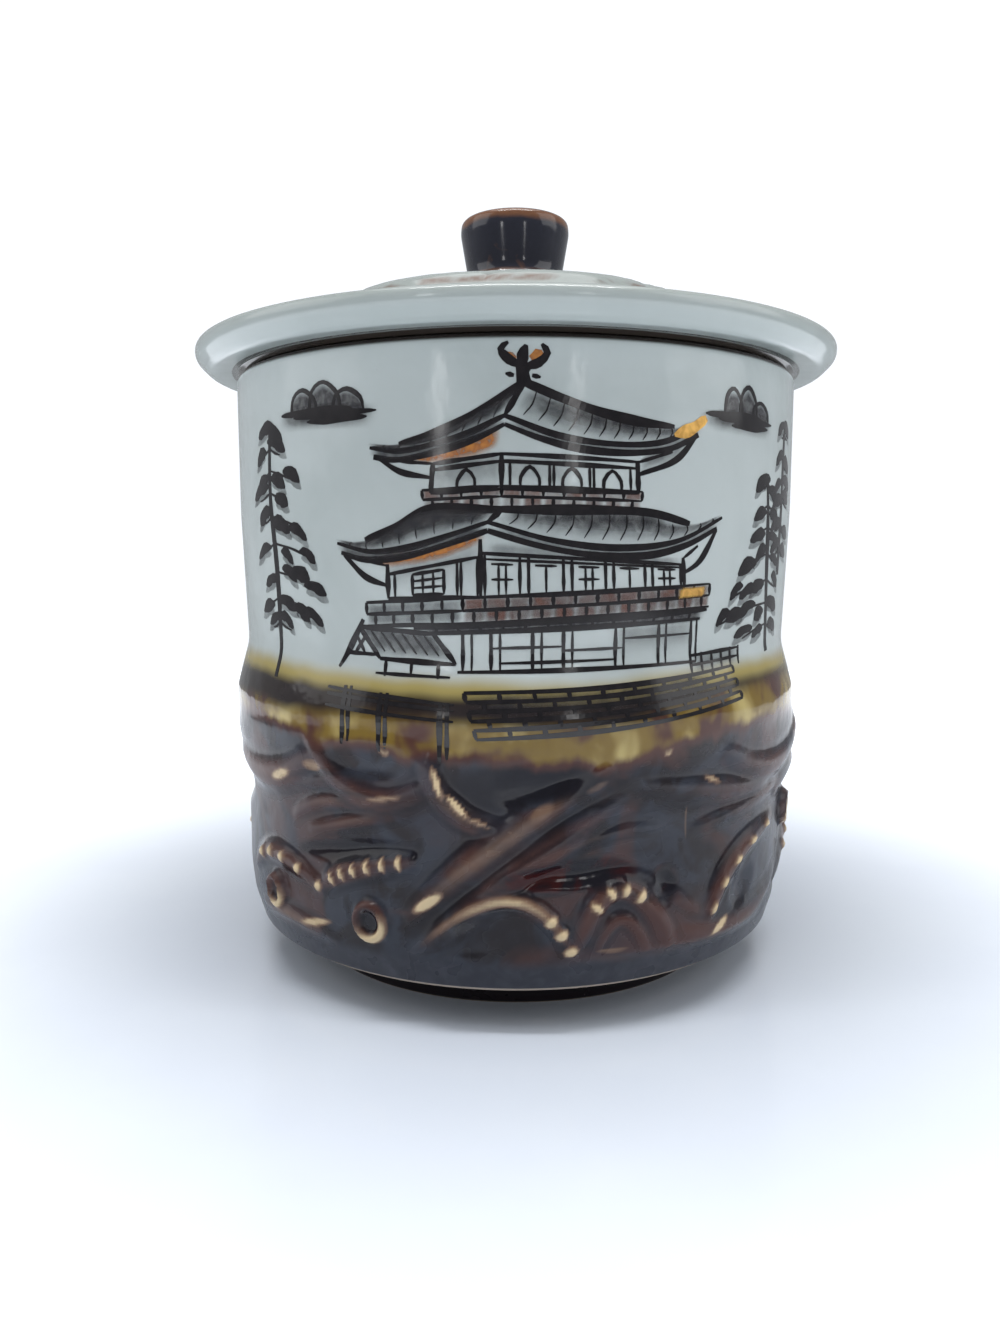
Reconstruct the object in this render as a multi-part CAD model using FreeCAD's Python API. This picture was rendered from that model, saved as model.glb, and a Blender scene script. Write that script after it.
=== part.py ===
import FreeCAD, Part
import functools
import math
import os

# Yunomi: a straight-sided tea cup of moulded porcelain, with a lid that rests on its rim.
# The lower half of the cup's wall carries a moulded relief of rocks, waves and beaded arcs.
# The origin is the centre of the foot's resting plane, +Z goes up the cup, and the front,
# where the scene is painted, faces -Y. Lengths are millimetres, angles are degrees.

# Cup: driving dimensions
CUP_HEIGHT = 77.9          # foot plane to the land of the rim
RIM_RADIUS = 38.1          # outside of the wall, at the rim
WALL_THICKNESS = 3.0       # at the rim
RIM_BEVEL = 0.6            # outer and inner edge of the rim
CAVITY_CORNER = 9.0        # size of the bend between the inside wall and the floor
BASE_THICKNESS = 5.4       # inside floor to the recess under the foot

# Foot: driving dimensions
FOOT_RADIUS = 28.9         # outside of the foot ring, where it stands
FOOT_RING_WIDTH = 3.2
FOOT_TAPER = 1.0           # how much wider the foot ring is at its root
FOOT_RECESS = 3.2          # depth of the hollow inside the foot ring
FOOT_BEVEL = 0.5           # wiped edges of the ring
TRIM_HEIGHT = 4.7          # trimmed lower edge of the wall, above the foot plane
TRIM_INSET = 2.6           # how far that edge lies inside the rim's radius

# Swells of the outside wall: height above the foot plane, how far it stands out from the
# rim's radius, and the radius of the bend there
LIP = (5.3, -1.50, 0.0)
BELLY = (11.2, -0.05, 0.0)
FLANK = (24.6, -0.25, 0.0)
SHOULDER_LOW = (31.8, 1.05, 0.0)
SHOULDER_HIGH = (36.8, 1.05, 0.0)
WAIST = (43.0, -0.60, 7.0)
CHEST = (60.0, 0.0, 0.0)

# Relief of the lower wall: driving dimensions
RELIEF_SINK = 0.35         # how deep the feet of a ridge lie in the wall
RIDGE_SPANS = 5            # straight spans along a ridge of the front
BACK_SPANS = 4             # the same at the back
RIDGE_TIP = 0.3            # width of a ridge at its ends as a share of its middle
RIDGE_FLAT = 0.45          # width of a ridge's crest as a share of its foot
BEAD_RADIUS = 0.9
BEAD_RISE = 0.5            # bead over the crest that carries it
BEAD_TOP = 0.55            # width of a bead's top as a share of its foot
BEAD_SIDES = 5
EYE_RISE = 0.8
EYE_TOP = 0.75             # width of an eye's top as a share of its foot
EYE_HOLLOW_LOW = 0.3       # width of the hollow in an eye, at its floor, as a share of the foot
EYE_HOLLOW_HIGH = 0.75     # the same at twice the eye's rise
EYE_FLOOR = 0.15           # floor of that hollow over the wall
EYE_SIDES = 10

# Ridges of the front half: half width at the foot, rise of the crest, and the start, middle
# and end of its path as (angle from the front, height above the foot plane)
RIDGES = {
    "left_crest": (2.3, 0.9, (-68, 30.0), (-51, 27.6), (-35, 32.0)),
    "left_bowl": (1.5, 1.0, (-39, 34.0), (-27, 27.2), (-13, 30.4)),
    "right_bowl": (1.5, 1.1, (-15, 32.0), (-10, 26.6), (-1, 24.6)),
    "ripple_high": (1.2, 0.5, (-44, 22.8), (-33, 26.2), (-20, 25.4)),
    "ripple_low": (1.1, 0.5, (-39, 21.9), (-29, 24.1), (-18, 26.0)),
    "left_brow": (1.5, 0.9, (-64, 12.4), (-52, 17.6), (-37, 14.9)),
    "middle_brow": (1.5, 1.0, (-38, 15.0), (-29, 18.3), (-18, 19.4)),
    "long_ridge": (2.2, 1.0, (-20, 13.4), (-4, 22.4), (16, 31.4)),
    "slope_ridge": (2.0, 0.9, (-17, 9.4), (1, 20.2), (23, 28.6)),
    "far_slope": (1.9, 0.8, (20, 28.8), (36, 27.2), (54, 26.2)),
    "arch": (1.4, 1.0, (-18, 9.2), (-2, 15.6), (9, 9.6)),
    "fan": (1.5, 0.9, (9, 9.6), (17.5, 16.6), (27, 9.6)),
    "pool_lip": (1.3, 0.7, (-3, 15.8), (15, 18.6), (34, 12.6)),
    "right_brow": (1.5, 0.9, (37, 11.2), (45, 18.0), (61, 20.8)),
    "right_wave": (1.9, 0.9, (38, 32.0), (57, 28.4), (76, 33.0)),
    "low_swell": (2.0, 0.7, (30, 11.4), (46, 9.8), (64, 13.4)),
    "side_crest": (2.2, 1.0, (68, 10.6), (82, 16.8), (98, 12.0)),
    "side_wave": (2.2, 0.9, (62, 24.0), (78, 26.4), (96, 22.0)),
}

# Beads along the crests of some ridges: how many, and the shares of the path where they
# start and end
BEADS = {
    "left_brow": (7, 0.20, 0.96),
    "middle_brow": (6, 0.22, 0.90),
    "fan": (7, 0.12, 0.88),
    "right_brow": (7, 0.22, 0.92),
    "arch": (2, 0.84, 0.95),
}

# Ring-shaped eyes of the front half: angle, height and radius
EYES = {
    "left_eye": (-52, 12.6, 2.5),
    "middle_eye": (-27, 12.6, 2.9),
    "side_eye": (72, 20.6, 2.6),
}

# The back half has only the broad forms of the relief, turned half round the cup
BACK_TURN = 180
BACK_RIDGES = ("left_crest", "left_bowl", "right_bowl", "left_brow", "long_ridge", "slope_ridge",
               "far_slope", "right_wave", "low_swell")
BACK_SCOOPS = ("side_hollow", "leaf")

# Scoops of the front half, cut by a round tool laid across the wall: angle, height, radius
# of the tool, depth, and tilt from level
SCOOPS = {
    "side_hollow": (-80, 25.0, 9.0, 1.5, 0),
    "leaf": (-30, 20.4, 3.2, 0.8, 8),
    "pool": (9, 19.6, 3.6, 0.9, 4),
    "drop": (26.5, 16.9, 2.2, 0.6, 60),
    "low_hollow": (-8, 9.6, 4.5, 0.5, -8),
}

# Lid: driving dimensions
LID_OVERHANG = 5.2         # how far the lid's edge reaches past the rim
LID_EDGE = 3.6             # height of the plate's edge over the rim
LID_EDGE_ROUND = 1.4       # size of the bend at the edge's top
LID_EDGE_BEVEL = 1.9       # sloping underside of the edge
LID_CROWN = 8.6            # rise of the sloping top over the edge, at the axis
LID_SEAT_THICKNESS = 1.8   # from the seat to the foot of the hollow under the lid
HOLLOW_DEPTH = 6.6         # from the seat to the flat roof of that hollow
HOLLOW_FLAT = 12.0         # radius of that roof
FLANGE_DEPTH = 4.5         # ring under the lid that keeps it centred in the mouth
FLANGE_THICKNESS = 2.8
FLANGE_CLEARANCE = 0.7     # radial gap between that ring and the inside of the rim
FLANGE_BEVEL = 0.5

# Raised ground round the knob, and the knob: driving dimensions
MOUND_RADIUS = 28.0        # foot of the mound, at its lobes
MOUND_SLOPE = 2.6          # width of its sloping border
MOUND_WAVE = 2.0           # how far the lobes stand out of the notches
MOUND_LOBES = 7
MOUND_HEIGHT = 2.1
MOUND_SINK = 0.3           # how deep its foot lies in the plate
KNOB_FOOT_RADIUS = 10.4    # spreading foot of the knob, at the plate under the mound
KNOB_NECK_RADIUS = 6.45
KNOB_TOP_RADIUS = 7.5
KNOB_RISE = 10.1           # from the plate's height at the axis to the knob's top
KNOB_NECK_RISE = 2.5       # from there to the neck, over the foot
KNOB_WIDEST_RISE = 8.2     # from there to its widest place
KNOB_INSET = 0.2           # how much narrower the knob is at its top than at its widest
KNOB_ROUNDING = 1.3        # round its top edge
KNOB_LAND = 1.5            # width of the ring round the hollow of its top
KNOB_DISH = 0.7            # depth of that hollow

# Heights above the foot plane and radii that follow
FLOOR_HEIGHT = FOOT_RECESS + BASE_THICKNESS
MOUTH_RADIUS = RIM_RADIUS - WALL_THICKNESS
FLANGE_RADIUS = MOUTH_RADIUS - FLANGE_CLEARANCE
FLANGE_BOTTOM = CUP_HEIGHT - FLANGE_DEPTH
LID_RADIUS = RIM_RADIUS + LID_OVERHANG
LID_EDGE_HEIGHT = CUP_HEIGHT + LID_EDGE
CROWN_HEIGHT = LID_EDGE_HEIGHT + LID_CROWN


def section_point(radius, height):
    """Point of a section outline, which is drawn in the plane Y = 0."""
    return FreeCAD.Vector(radius, 0, height)


def line(start, end):
    return Part.LineSegment(start, end).toShape()


def rounded_outline(corners):
    """Edges along a row of (radius, height, rounding), each bend an arc tangent to its lines."""
    points = [section_point(radius, height) for radius, height, _ in corners]
    edges = []
    last = points[0]
    for index in range(1, len(corners) - 1):
        rounding = corners[index][2]
        corner = points[index]
        if rounding == 0:
            edges.append(line(last, corner))
            last = corner
            continue
        back = (points[index - 1] - corner).normalize()
        ahead = (points[index + 1] - corner).normalize()
        half = 0.5 * back.getAngle(ahead)
        reach = rounding / math.tan(half)
        inward = (back + ahead).normalize()
        crest = corner + inward * (rounding / math.sin(half) - rounding)
        edges.append(line(last, corner + back * reach))
        edges.append(Part.Arc(corner + back * reach, crest, corner + ahead * reach).toShape())
        last = corner + ahead * reach
    edges.append(line(last, points[-1]))
    return edges


def sided_bend(radius, height, size, turns):
    """Corners of a bend made of straight sides, at turns counted from straight down."""
    corners = []
    for turn in turns:
        across = size * math.sin(math.radians(turn))
        down = size * math.cos(math.radians(turn))
        corners.append((radius + across, height - down, 0))
    return corners


def turned(edges):
    """Solid of revolution about the cup's axis, from a closed outline."""
    outline = Part.Wire(edges)
    return Part.Face(outline).revolve(FreeCAD.Vector(), FreeCAD.Vector(0, 0, 1), 360)


def wall_corners():
    """Corners of the outside of the wall, from the trimmed edge to the rim."""
    corners = [(RIM_RADIUS - TRIM_INSET, TRIM_HEIGHT, 0)]
    for height, out, rounding in (LIP, BELLY, FLANK, SHOULDER_LOW, SHOULDER_HIGH, WAIST, CHEST):
        corners.append((RIM_RADIUS + out, height, rounding))
    corners.append((RIM_RADIUS, CUP_HEIGHT - RIM_BEVEL, 0))
    return corners


@functools.cache
def wall_profile():
    """Close-set points up the outside of the plain wall."""
    return Part.Wire(rounded_outline(wall_corners())).discretize(Deflection=0.005)


def wall_radius(height):
    """Outside radius of the plain wall at one height."""
    profile = wall_profile()
    for low, high in zip(profile, profile[1:]):
        if low.z <= height <= high.z:
            return low.x + (high.x - low.x) * (height - low.z) / (high.z - low.z)
    return profile[0].x if height < profile[0].z else profile[-1].x


class WallSpot:
    """A place on the wall, with its directions outwards, round the wall and upwards."""

    def __init__(self, distance, height):
        turn = distance / RIM_RADIUS
        self.height = height
        self.outward = FreeCAD.Vector(math.sin(turn), -math.cos(turn), 0)
        self.level = FreeCAD.Vector(math.cos(turn), math.sin(turn), 0)
        self.point = self.outward * wall_radius(height) + FreeCAD.Vector(0, 0, height)

    def beside(self, across, up, out):
        """Point of the plane or block that touches the wall here, moved by three distances."""
        return self.point + self.level * across + FreeCAD.Vector(0, 0, up) + self.outward * out

    def under_wall(self, across, up, depth):
        """The same, a depth under the wall at the height that it moves to."""
        out = wall_radius(self.height + up) - wall_radius(self.height) - depth
        return self.beside(across, up, out)


def unrolled(turn, place):
    """A place given by angle and height, as distance round the wall and height."""
    angle, height = place
    return math.radians(angle + turn) * RIM_RADIUS, height


def path_point(ends, share):
    """Point of the smooth curve through a path's start, middle and end."""
    weights = ((1 - share) * (1 - 2 * share), 4 * share * (1 - share), share * (2 * share - 1))
    distance = sum(weight * place[0] for weight, place in zip(weights, ends))
    height = sum(weight * place[1] for weight, place in zip(weights, ends))
    return distance, height


def path_side(ends, share):
    """Direction across the path on the unrolled wall."""
    before = path_point(ends, share - 0.01)
    after = path_point(ends, share + 0.01)
    run = math.dist(before, after)
    return (before[1] - after[1]) / run, (after[0] - before[0]) / run


def swell(share):
    """0 at the two ends of a ridge and 1 at its middle."""
    return math.sin(math.pi * share) ** 0.5 if 0 < share < 1 else 0.0


def ridge_section(ends, share, half_width, rise):
    """Outline across a ridge: two feet in the wall and a flattened crest."""
    spot = WallSpot(*path_point(ends, share))
    across, up = path_side(ends, share)
    full = swell(share)
    foot = half_width * (RIDGE_TIP + (1 - RIDGE_TIP) * full)
    flat = RIDGE_FLAT * foot
    crest = rise * full - 0.5 * RELIEF_SINK * (1 - full)
    corners = [spot.under_wall(-across * foot, -up * foot, RELIEF_SINK)]
    corners.append(spot.beside(-across * flat, -up * flat, crest))
    corners.append(spot.beside(across * flat, up * flat, crest))
    corners.append(spot.under_wall(across * foot, up * foot, RELIEF_SINK))
    return Part.makePolygon(corners + corners[:1])


def ridge(turn, spans, half_width, rise, *places):
    """Raised band whose two ends die out in the wall."""
    ends = [unrolled(turn, place) for place in places]
    shares = [span / spans for span in range(spans + 1)]
    sections = [ridge_section(ends, share, half_width, rise) for share in shares]
    return Part.makeLoft(sections, True, True)


def stud(spot, low, low_radius, high, high_radius, sides):
    """Many-sided stud that stands on the wall."""
    rings = []
    for out, radius in ((low, low_radius), (high, high_radius)):
        turns = [2 * math.pi * side / sides for side in range(sides + 1)]
        ring = [spot.beside(radius * math.cos(turn), radius * math.sin(turn), out) for turn in turns]
        rings.append(Part.makePolygon(ring[:-1] + ring[:1]))
    return Part.makeLoft(rings, True, True)


def beads(turn, name):
    """Beads on the crest of one ridge."""
    _, rise, *places = RIDGES[name]
    count, first, last = BEADS[name]
    ends = [unrolled(turn, place) for place in places]
    studs = []
    for index in range(count):
        share = first + (last - first) * index / (count - 1)
        spot = WallSpot(*path_point(ends, share))
        top = rise * swell(share) + BEAD_RISE
        studs.append(stud(spot, -RELIEF_SINK, BEAD_RADIUS, top, BEAD_TOP * BEAD_RADIUS, BEAD_SIDES))
    return studs


def eye(turn, angle, height, radius):
    """Low round boss."""
    spot = WallSpot(*unrolled(turn, (angle, height)))
    return stud(spot, -RELIEF_SINK, radius, EYE_RISE, EYE_TOP * radius, EYE_SIDES)


def eye_hollow(turn, angle, height, radius):
    """Tool that sinks the middle of an eye."""
    spot = WallSpot(*unrolled(turn, (angle, height)))
    low, high = EYE_HOLLOW_LOW * radius, EYE_HOLLOW_HIGH * radius
    return stud(spot, EYE_FLOOR, low, 2 * EYE_RISE, high, EYE_SIDES)


def scoop(turn, angle, height, radius, depth, tilt):
    """Round bar laid across the wall, which cuts a long shallow hollow."""
    spot = WallSpot(*unrolled(turn, (angle, height)))
    along = FreeCAD.Rotation(spot.outward, tilt).multVec(spot.level)
    middle = spot.beside(0, 0, radius - depth)
    return Part.makeCylinder(radius, 2 * RIM_RADIUS, middle - along * RIM_RADIUS, along)


def front_relief(body):
    """The body with the whole relief of the front half."""
    body = body.cut([scoop(0, *sizes) for sizes in SCOOPS.values()])
    body = body.fuse([ridge(0, RIDGE_SPANS, *sizes) for sizes in RIDGES.values()])
    body = body.fuse([eye(0, *sizes) for sizes in EYES.values()])
    body = body.cut([eye_hollow(0, *sizes) for sizes in EYES.values()])
    return body.fuse([bead for name in BEADS for bead in beads(0, name)])


def back_relief(body):
    """The body with the broad forms of the relief round its back."""
    body = body.cut([scoop(BACK_TURN, *SCOOPS[name]) for name in BACK_SCOOPS])
    return body.fuse([ridge(BACK_TURN, BACK_SPANS, *RIDGES[name]) for name in BACK_RIDGES])


def cup_blank():
    """The cup's outside and foot, still solid inside and with a plain wall."""
    inner = FOOT_RADIUS - FOOT_RING_WIDTH
    corners = [(0, FOOT_RECESS, 0)]
    corners.append((inner, FOOT_RECESS, 0))
    corners.append((inner, FOOT_BEVEL, 0))
    corners.append((inner + FOOT_BEVEL, 0, 0))
    corners.append((FOOT_RADIUS - FOOT_BEVEL, 0, 0))
    corners.append((FOOT_RADIUS, FOOT_BEVEL, 0))
    corners.append((FOOT_RADIUS + FOOT_TAPER, TRIM_HEIGHT, 0))
    corners += wall_corners()
    corners.append((RIM_RADIUS - RIM_BEVEL, CUP_HEIGHT, 0))
    corners.append((0, CUP_HEIGHT, 0))
    return turned(rounded_outline(corners) + [line(section_point(0, CUP_HEIGHT), section_point(0, FOOT_RECESS))])


def cavity():
    """The inside of the cup, bevelled at the mouth, with a three-sided bend at the floor."""
    above = CUP_HEIGHT + 1
    bend_centre = (MOUTH_RADIUS - CAVITY_CORNER, FLOOR_HEIGHT + CAVITY_CORNER)
    corners = [(0, FLOOR_HEIGHT, 0)]
    corners += sided_bend(*bend_centre, CAVITY_CORNER, (0, 30, 60, 90))
    corners.append((MOUTH_RADIUS, CUP_HEIGHT - RIM_BEVEL, 0))
    corners.append((MOUTH_RADIUS + RIM_BEVEL, CUP_HEIGHT, 0))
    corners.append((MOUTH_RADIUS + RIM_BEVEL, above, 0))
    corners.append((0, above, 0))
    return turned(rounded_outline(corners) + [line(section_point(0, above), section_point(0, FLOOR_HEIGHT))])


def cup():
    """The whole cup: one fired piece."""
    return back_relief(front_relief(cup_blank())).cut(cavity())


def plate_top(radius):
    """Height of the lid's sloping top."""
    return CROWN_HEIGHT - LID_CROWN * radius / LID_RADIUS


def knob_corners():
    """Outline of the knob, from its foot on the plate to the middle of its top."""
    top = CROWN_HEIGHT + KNOB_RISE
    bend_radius = KNOB_TOP_RADIUS - KNOB_INSET - KNOB_ROUNDING
    corners = [(KNOB_FOOT_RADIUS, plate_top(KNOB_FOOT_RADIUS), 0)]
    corners.append((KNOB_NECK_RADIUS, CROWN_HEIGHT + KNOB_NECK_RISE, 0))
    corners.append((KNOB_TOP_RADIUS, CROWN_HEIGHT + KNOB_WIDEST_RISE, 0))
    corners += sided_bend(bend_radius, top - KNOB_ROUNDING, KNOB_ROUNDING, (90, 135, 180))
    corners.append((bend_radius - KNOB_LAND, top, 0))
    corners.append((0, top - KNOB_DISH, 0))
    return corners


def lid_blank():
    """Plate, flange and knob, turned in one and still solid underneath."""
    edge_centre = (LID_RADIUS - LID_EDGE_ROUND, LID_EDGE_HEIGHT - LID_EDGE_ROUND)
    corners = [(0, FLANGE_BOTTOM, 0)]
    corners.append((FLANGE_RADIUS - FLANGE_BEVEL, FLANGE_BOTTOM, 0))
    corners.append((FLANGE_RADIUS, FLANGE_BOTTOM + FLANGE_BEVEL, 0))
    corners.append((FLANGE_RADIUS, CUP_HEIGHT, 0))
    corners.append((LID_RADIUS - LID_EDGE_BEVEL, CUP_HEIGHT, 0))
    corners.append((LID_RADIUS, CUP_HEIGHT + LID_EDGE_BEVEL, 0))
    corners += sided_bend(*edge_centre, LID_EDGE_ROUND, (90, 135))
    corners.append((edge_centre[0], plate_top(edge_centre[0]), 0))
    corners += knob_corners()
    top_middle = section_point(*corners[-1][:2])
    return turned(rounded_outline(corners) + [line(top_middle, section_point(0, FLANGE_BOTTOM))])


def hollow():
    """The hollow under the lid: straight inside the flange, then rising to a flat roof."""
    below = FLANGE_BOTTOM - 1
    inner = FLANGE_RADIUS - FLANGE_THICKNESS
    corners = [(0, below, 0)]
    corners.append((inner, below, 0))
    corners.append((inner, CUP_HEIGHT + LID_SEAT_THICKNESS, 0))
    corners.append((HOLLOW_FLAT, CUP_HEIGHT + HOLLOW_DEPTH, 0))
    corners.append((0, CUP_HEIGHT + HOLLOW_DEPTH, 0))
    return turned(rounded_outline(corners) + [line(section_point(*corners[-1][:2]), section_point(0, below))])


def lobed_outline(radius, height):
    """Closed outline of round lobes about the axis."""
    step = math.pi / MOUND_LOBES
    points = []
    for index in range(2 * MOUND_LOBES + 1):
        reach = radius if index % 2 else radius - MOUND_WAVE
        points.append(FreeCAD.Vector(reach * math.cos(index * step), reach * math.sin(index * step), height))
    lobes = [Part.Arc(*points[index:index + 3]).toShape() for index in range(0, 2 * MOUND_LOBES, 2)]
    return Part.Wire(lobes)


def mound():
    """Raised ground round the knob: a lobed block with sloping sides under a raised cone."""
    top_radius = MOUND_RADIUS - MOUND_SLOPE
    low = lobed_outline(MOUND_RADIUS, plate_top(MOUND_RADIUS) - MOUND_SINK)
    high = lobed_outline(top_radius, plate_top(top_radius) + 2 * MOUND_HEIGHT)
    block = Part.makeLoft([low, high], True, True)
    reach = MOUND_RADIUS + 1
    floor = plate_top(reach) - MOUND_SINK
    corners = [(0, plate_top(0) + MOUND_HEIGHT, 0)]
    corners.append((reach, plate_top(reach) + MOUND_HEIGHT, 0))
    corners.append((reach, floor, 0))
    corners.append((0, floor, 0))
    top = turned(rounded_outline(corners) + [line(section_point(0, floor), section_point(*corners[0][:2]))])
    return block.common(top)


def lid():
    """The whole lid: one fired piece."""
    return lid_blank().fuse(mound()).cut(hollow())


def main():
    os.makedirs("parts", exist_ok=True)
    for name, make in (("cup", cup), ("lid", lid)):
        shape = make()
        print(name, "solids", len(shape.Solids), "valid", shape.isValid(), "volume", round(shape.Volume))
        shape.Solids[0].exportStep(f"parts/{name}.step")


main()
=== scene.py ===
"""Looks of a lidded tea cup: moulded porcelain, two glazes and a brush-painted lakeside scene."""

import enum
import logging
import math
import random
from dataclasses import dataclass, field

import bpy
import numpy as np
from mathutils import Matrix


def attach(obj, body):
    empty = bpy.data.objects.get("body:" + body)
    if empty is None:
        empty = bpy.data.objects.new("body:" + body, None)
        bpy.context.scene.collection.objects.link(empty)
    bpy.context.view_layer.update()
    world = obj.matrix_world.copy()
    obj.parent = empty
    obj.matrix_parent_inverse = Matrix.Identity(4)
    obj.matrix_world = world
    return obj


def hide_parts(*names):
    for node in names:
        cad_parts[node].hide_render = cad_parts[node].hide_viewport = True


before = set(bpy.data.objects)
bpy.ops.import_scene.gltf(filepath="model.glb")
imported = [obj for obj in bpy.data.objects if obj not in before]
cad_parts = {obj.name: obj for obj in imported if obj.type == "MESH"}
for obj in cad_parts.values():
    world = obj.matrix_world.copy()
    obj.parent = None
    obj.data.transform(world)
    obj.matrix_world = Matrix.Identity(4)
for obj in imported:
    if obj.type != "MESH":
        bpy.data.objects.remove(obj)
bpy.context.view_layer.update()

LOG = logging.getLogger("tea_cup")
MM = 0.001
BODY = "root"
BRUSH = 1.5

Point = tuple[float, float]
Colour = tuple[float, float, float]
Place = tuple[float, float, float]


class Signal:
    """A number or colour that runs through a material's nodes."""

    def __init__(self, board: "Board", socket: bpy.types.NodeSocket) -> None:
        """Wraps one output socket of a board."""
        self.board = board
        self.socket = socket

    def _math(self, operation: str, first: object, second: object = 0.0) -> "Signal":
        """Adds one Math node to the board."""
        return self.board.node("ShaderNodeMath", {"operation": operation}, {0: first, 1: second})

    def __add__(self, other: object) -> "Signal":
        """self + other."""
        return self._math("ADD", self, other)

    def __radd__(self, other: object) -> "Signal":
        """other + self."""
        return self._math("ADD", other, self)

    def __sub__(self, other: object) -> "Signal":
        """self - other."""
        return self._math("SUBTRACT", self, other)

    def __rsub__(self, other: object) -> "Signal":
        """other - self."""
        return self._math("SUBTRACT", other, self)

    def __mul__(self, other: object) -> "Signal":
        """self * other."""
        return self._math("MULTIPLY", self, other)

    def __rmul__(self, other: object) -> "Signal":
        """other * self."""
        return self._math("MULTIPLY", other, self)

    def __truediv__(self, other: object) -> "Signal":
        """self / other."""
        return self._math("DIVIDE", self, other)

    def __pow__(self, other: object) -> "Signal":
        """self ** other."""
        return self._math("POWER", self, other)

    def larger(self, other: object) -> "Signal":
        """The larger of two numbers."""
        return self._math("MAXIMUM", self, other)

    def rise(self, low: float, high: float, start: float = 0.0, end: float = 1.0) -> "Signal":
        """A soft step.

        Args:
            low: where the step begins.
            high: where it ends.
            start: value before the step.
            end: value after the step.

        Returns:
            The stepped number.
        """
        sockets = {0: self, 1: low, 2: high, 3: start, 4: end}
        return self.board.node("ShaderNodeMapRange", {"interpolation_type": "SMOOTHSTEP"}, sockets)

    def band(self, centre: float, half: float, soft: float) -> "Signal":
        """1 within half of a centre, falling softly to 0 over a further distance."""
        away = self._math("ABSOLUTE", self - centre)
        return away.rise(half, half + soft, 1.0, 0.0)


class Board:
    """The node board of one material."""

    def __init__(self, name: str) -> None:
        """Starts a material whose board holds only its shader and output.

        Args:
            name: the material's name.
        """
        self.material = bpy.data.materials.new(name)
        self.material.use_nodes = True
        self.tree = self.material.node_tree
        self.shader = self.tree.nodes["Principled BSDF"]

    def node(self, kind: str, settings: dict, sockets: dict, output: object = 0) -> Signal:
        """Adds one node.

        Args:
            kind: the node's type.
            settings: its own settings, set first.
            sockets: input name or number to a value or a signal.
            output: name or number of the output that is returned.

        Returns:
            The chosen output.
        """
        made = self.tree.nodes.new(kind)
        for name, value in settings.items():
            setattr(made, name, value)
        for name, value in sockets.items():
            self.feed(made.inputs[name], value)
        return Signal(self, made.outputs[output])

    def feed(self, socket: bpy.types.NodeSocket, value: object) -> None:
        """Links a signal to a socket, or sets the socket to a value.

        Args:
            socket: the input.
            value: a signal, a number, or a colour without its alpha.
        """
        if isinstance(value, Signal):
            self.tree.links.new(value.socket, socket)
        elif isinstance(value, tuple) and len(value) == 3 and socket.type == "RGBA":
            socket.default_value = (*value, 1.0)
        else:
            socket.default_value = value

    def set(self, **values: object) -> None:
        """Feeds the shader's sockets, whose names have underscores here for spaces."""
        for name, value in values.items():
            self.feed(self.shader.inputs[name.replace("_", " ")], value)

    def place(self) -> Signal:
        """Object coordinates."""
        return self.node("ShaderNodeTexCoord", {}, {}, "Object")

    def axes(self) -> tuple[Signal, Signal, Signal]:
        """Splits the object coordinates.

        Returns:
            X, Y and Z in millimetres.
        """
        split = self.node("ShaderNodeSeparateXYZ", {}, {0: self.place()})
        outputs = split.socket.node.outputs
        return tuple(Signal(self, output) / MM for output in outputs)

    def attribute(self, name: str) -> Signal:
        """A number that each vertex of the piece carries."""
        return self.node("ShaderNodeAttribute", {"attribute_name": name}, {}, "Fac")

    def vector(self, x: object, y: object, z: object) -> Signal:
        """A vector from three numbers."""
        return self.node("ShaderNodeCombineXYZ", {}, {0: x, 1: y, 2: z})

    def noise(self, where: Signal, scale: float, detail: float = 2.0, warp: float = 0.0) -> Signal:
        """Cloudy noise about 0.5.

        Args:
            where: the vector that it follows.
            scale: how many clouds fit in one unit.
            detail: how many finer layers it has.
            warp: how far it is distorted.

        Returns:
            A number from 0 to 1.
        """
        sockets = {"Vector": where, "Scale": scale, "Detail": detail, "Distortion": warp}
        return self.node("ShaderNodeTexNoise", {}, sockets, "Fac")

    def blend(self, share: object, low: object, high: object) -> Signal:
        """Colour between two colours."""
        return self.node("ShaderNodeMix", {"data_type": "RGBA"}, {0: share, 6: low, 7: high}, 2)

    def ramp(self, share: Signal, *stops: tuple[float, Colour]) -> Signal:
        """Blends from colour to colour.

        Args:
            share: the number that chooses the colour.
            stops: (place, colour) pairs in rising order.

        Returns:
            The chosen colour.
        """
        colour = self.blend(share.rise(stops[0][0], stops[1][0]), stops[0][1], stops[1][1])
        for before, after in zip(stops[1:], stops[2:]):
            colour = self.blend(share.rise(before[0], after[0]), colour, after[1])
        return colour

    def bump(self, height: Signal, distance: float, strength: float = 1.0) -> None:
        """Roughens the surface's shading by a height given in shares of a distance."""
        sockets = {"Strength": strength, "Distance": distance, "Height": height}
        self.set(Normal=self.node("ShaderNodeBump", {}, sockets, "Normal"))


class SkyBoard(Board):
    """The node board of the surroundings."""

    def __init__(self, name: str) -> None:
        """Starts a world whose board holds only its background and output.

        Args:
            name: the world's name.
        """
        self.world = bpy.data.worlds.new(name)
        self.world.use_nodes = True
        self.tree = self.world.node_tree
        self.shader = self.tree.nodes["Background"]


def deselect() -> None:
    """Leaves nothing selected."""
    bpy.ops.object.select_all(action="DESELECT")


def smooth_share(value: np.ndarray) -> np.ndarray:
    """Soft step from 0 to 1."""
    held = np.clip(value, 0.0, 1.0)
    return held * held * (3.0 - 2.0 * held)


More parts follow.
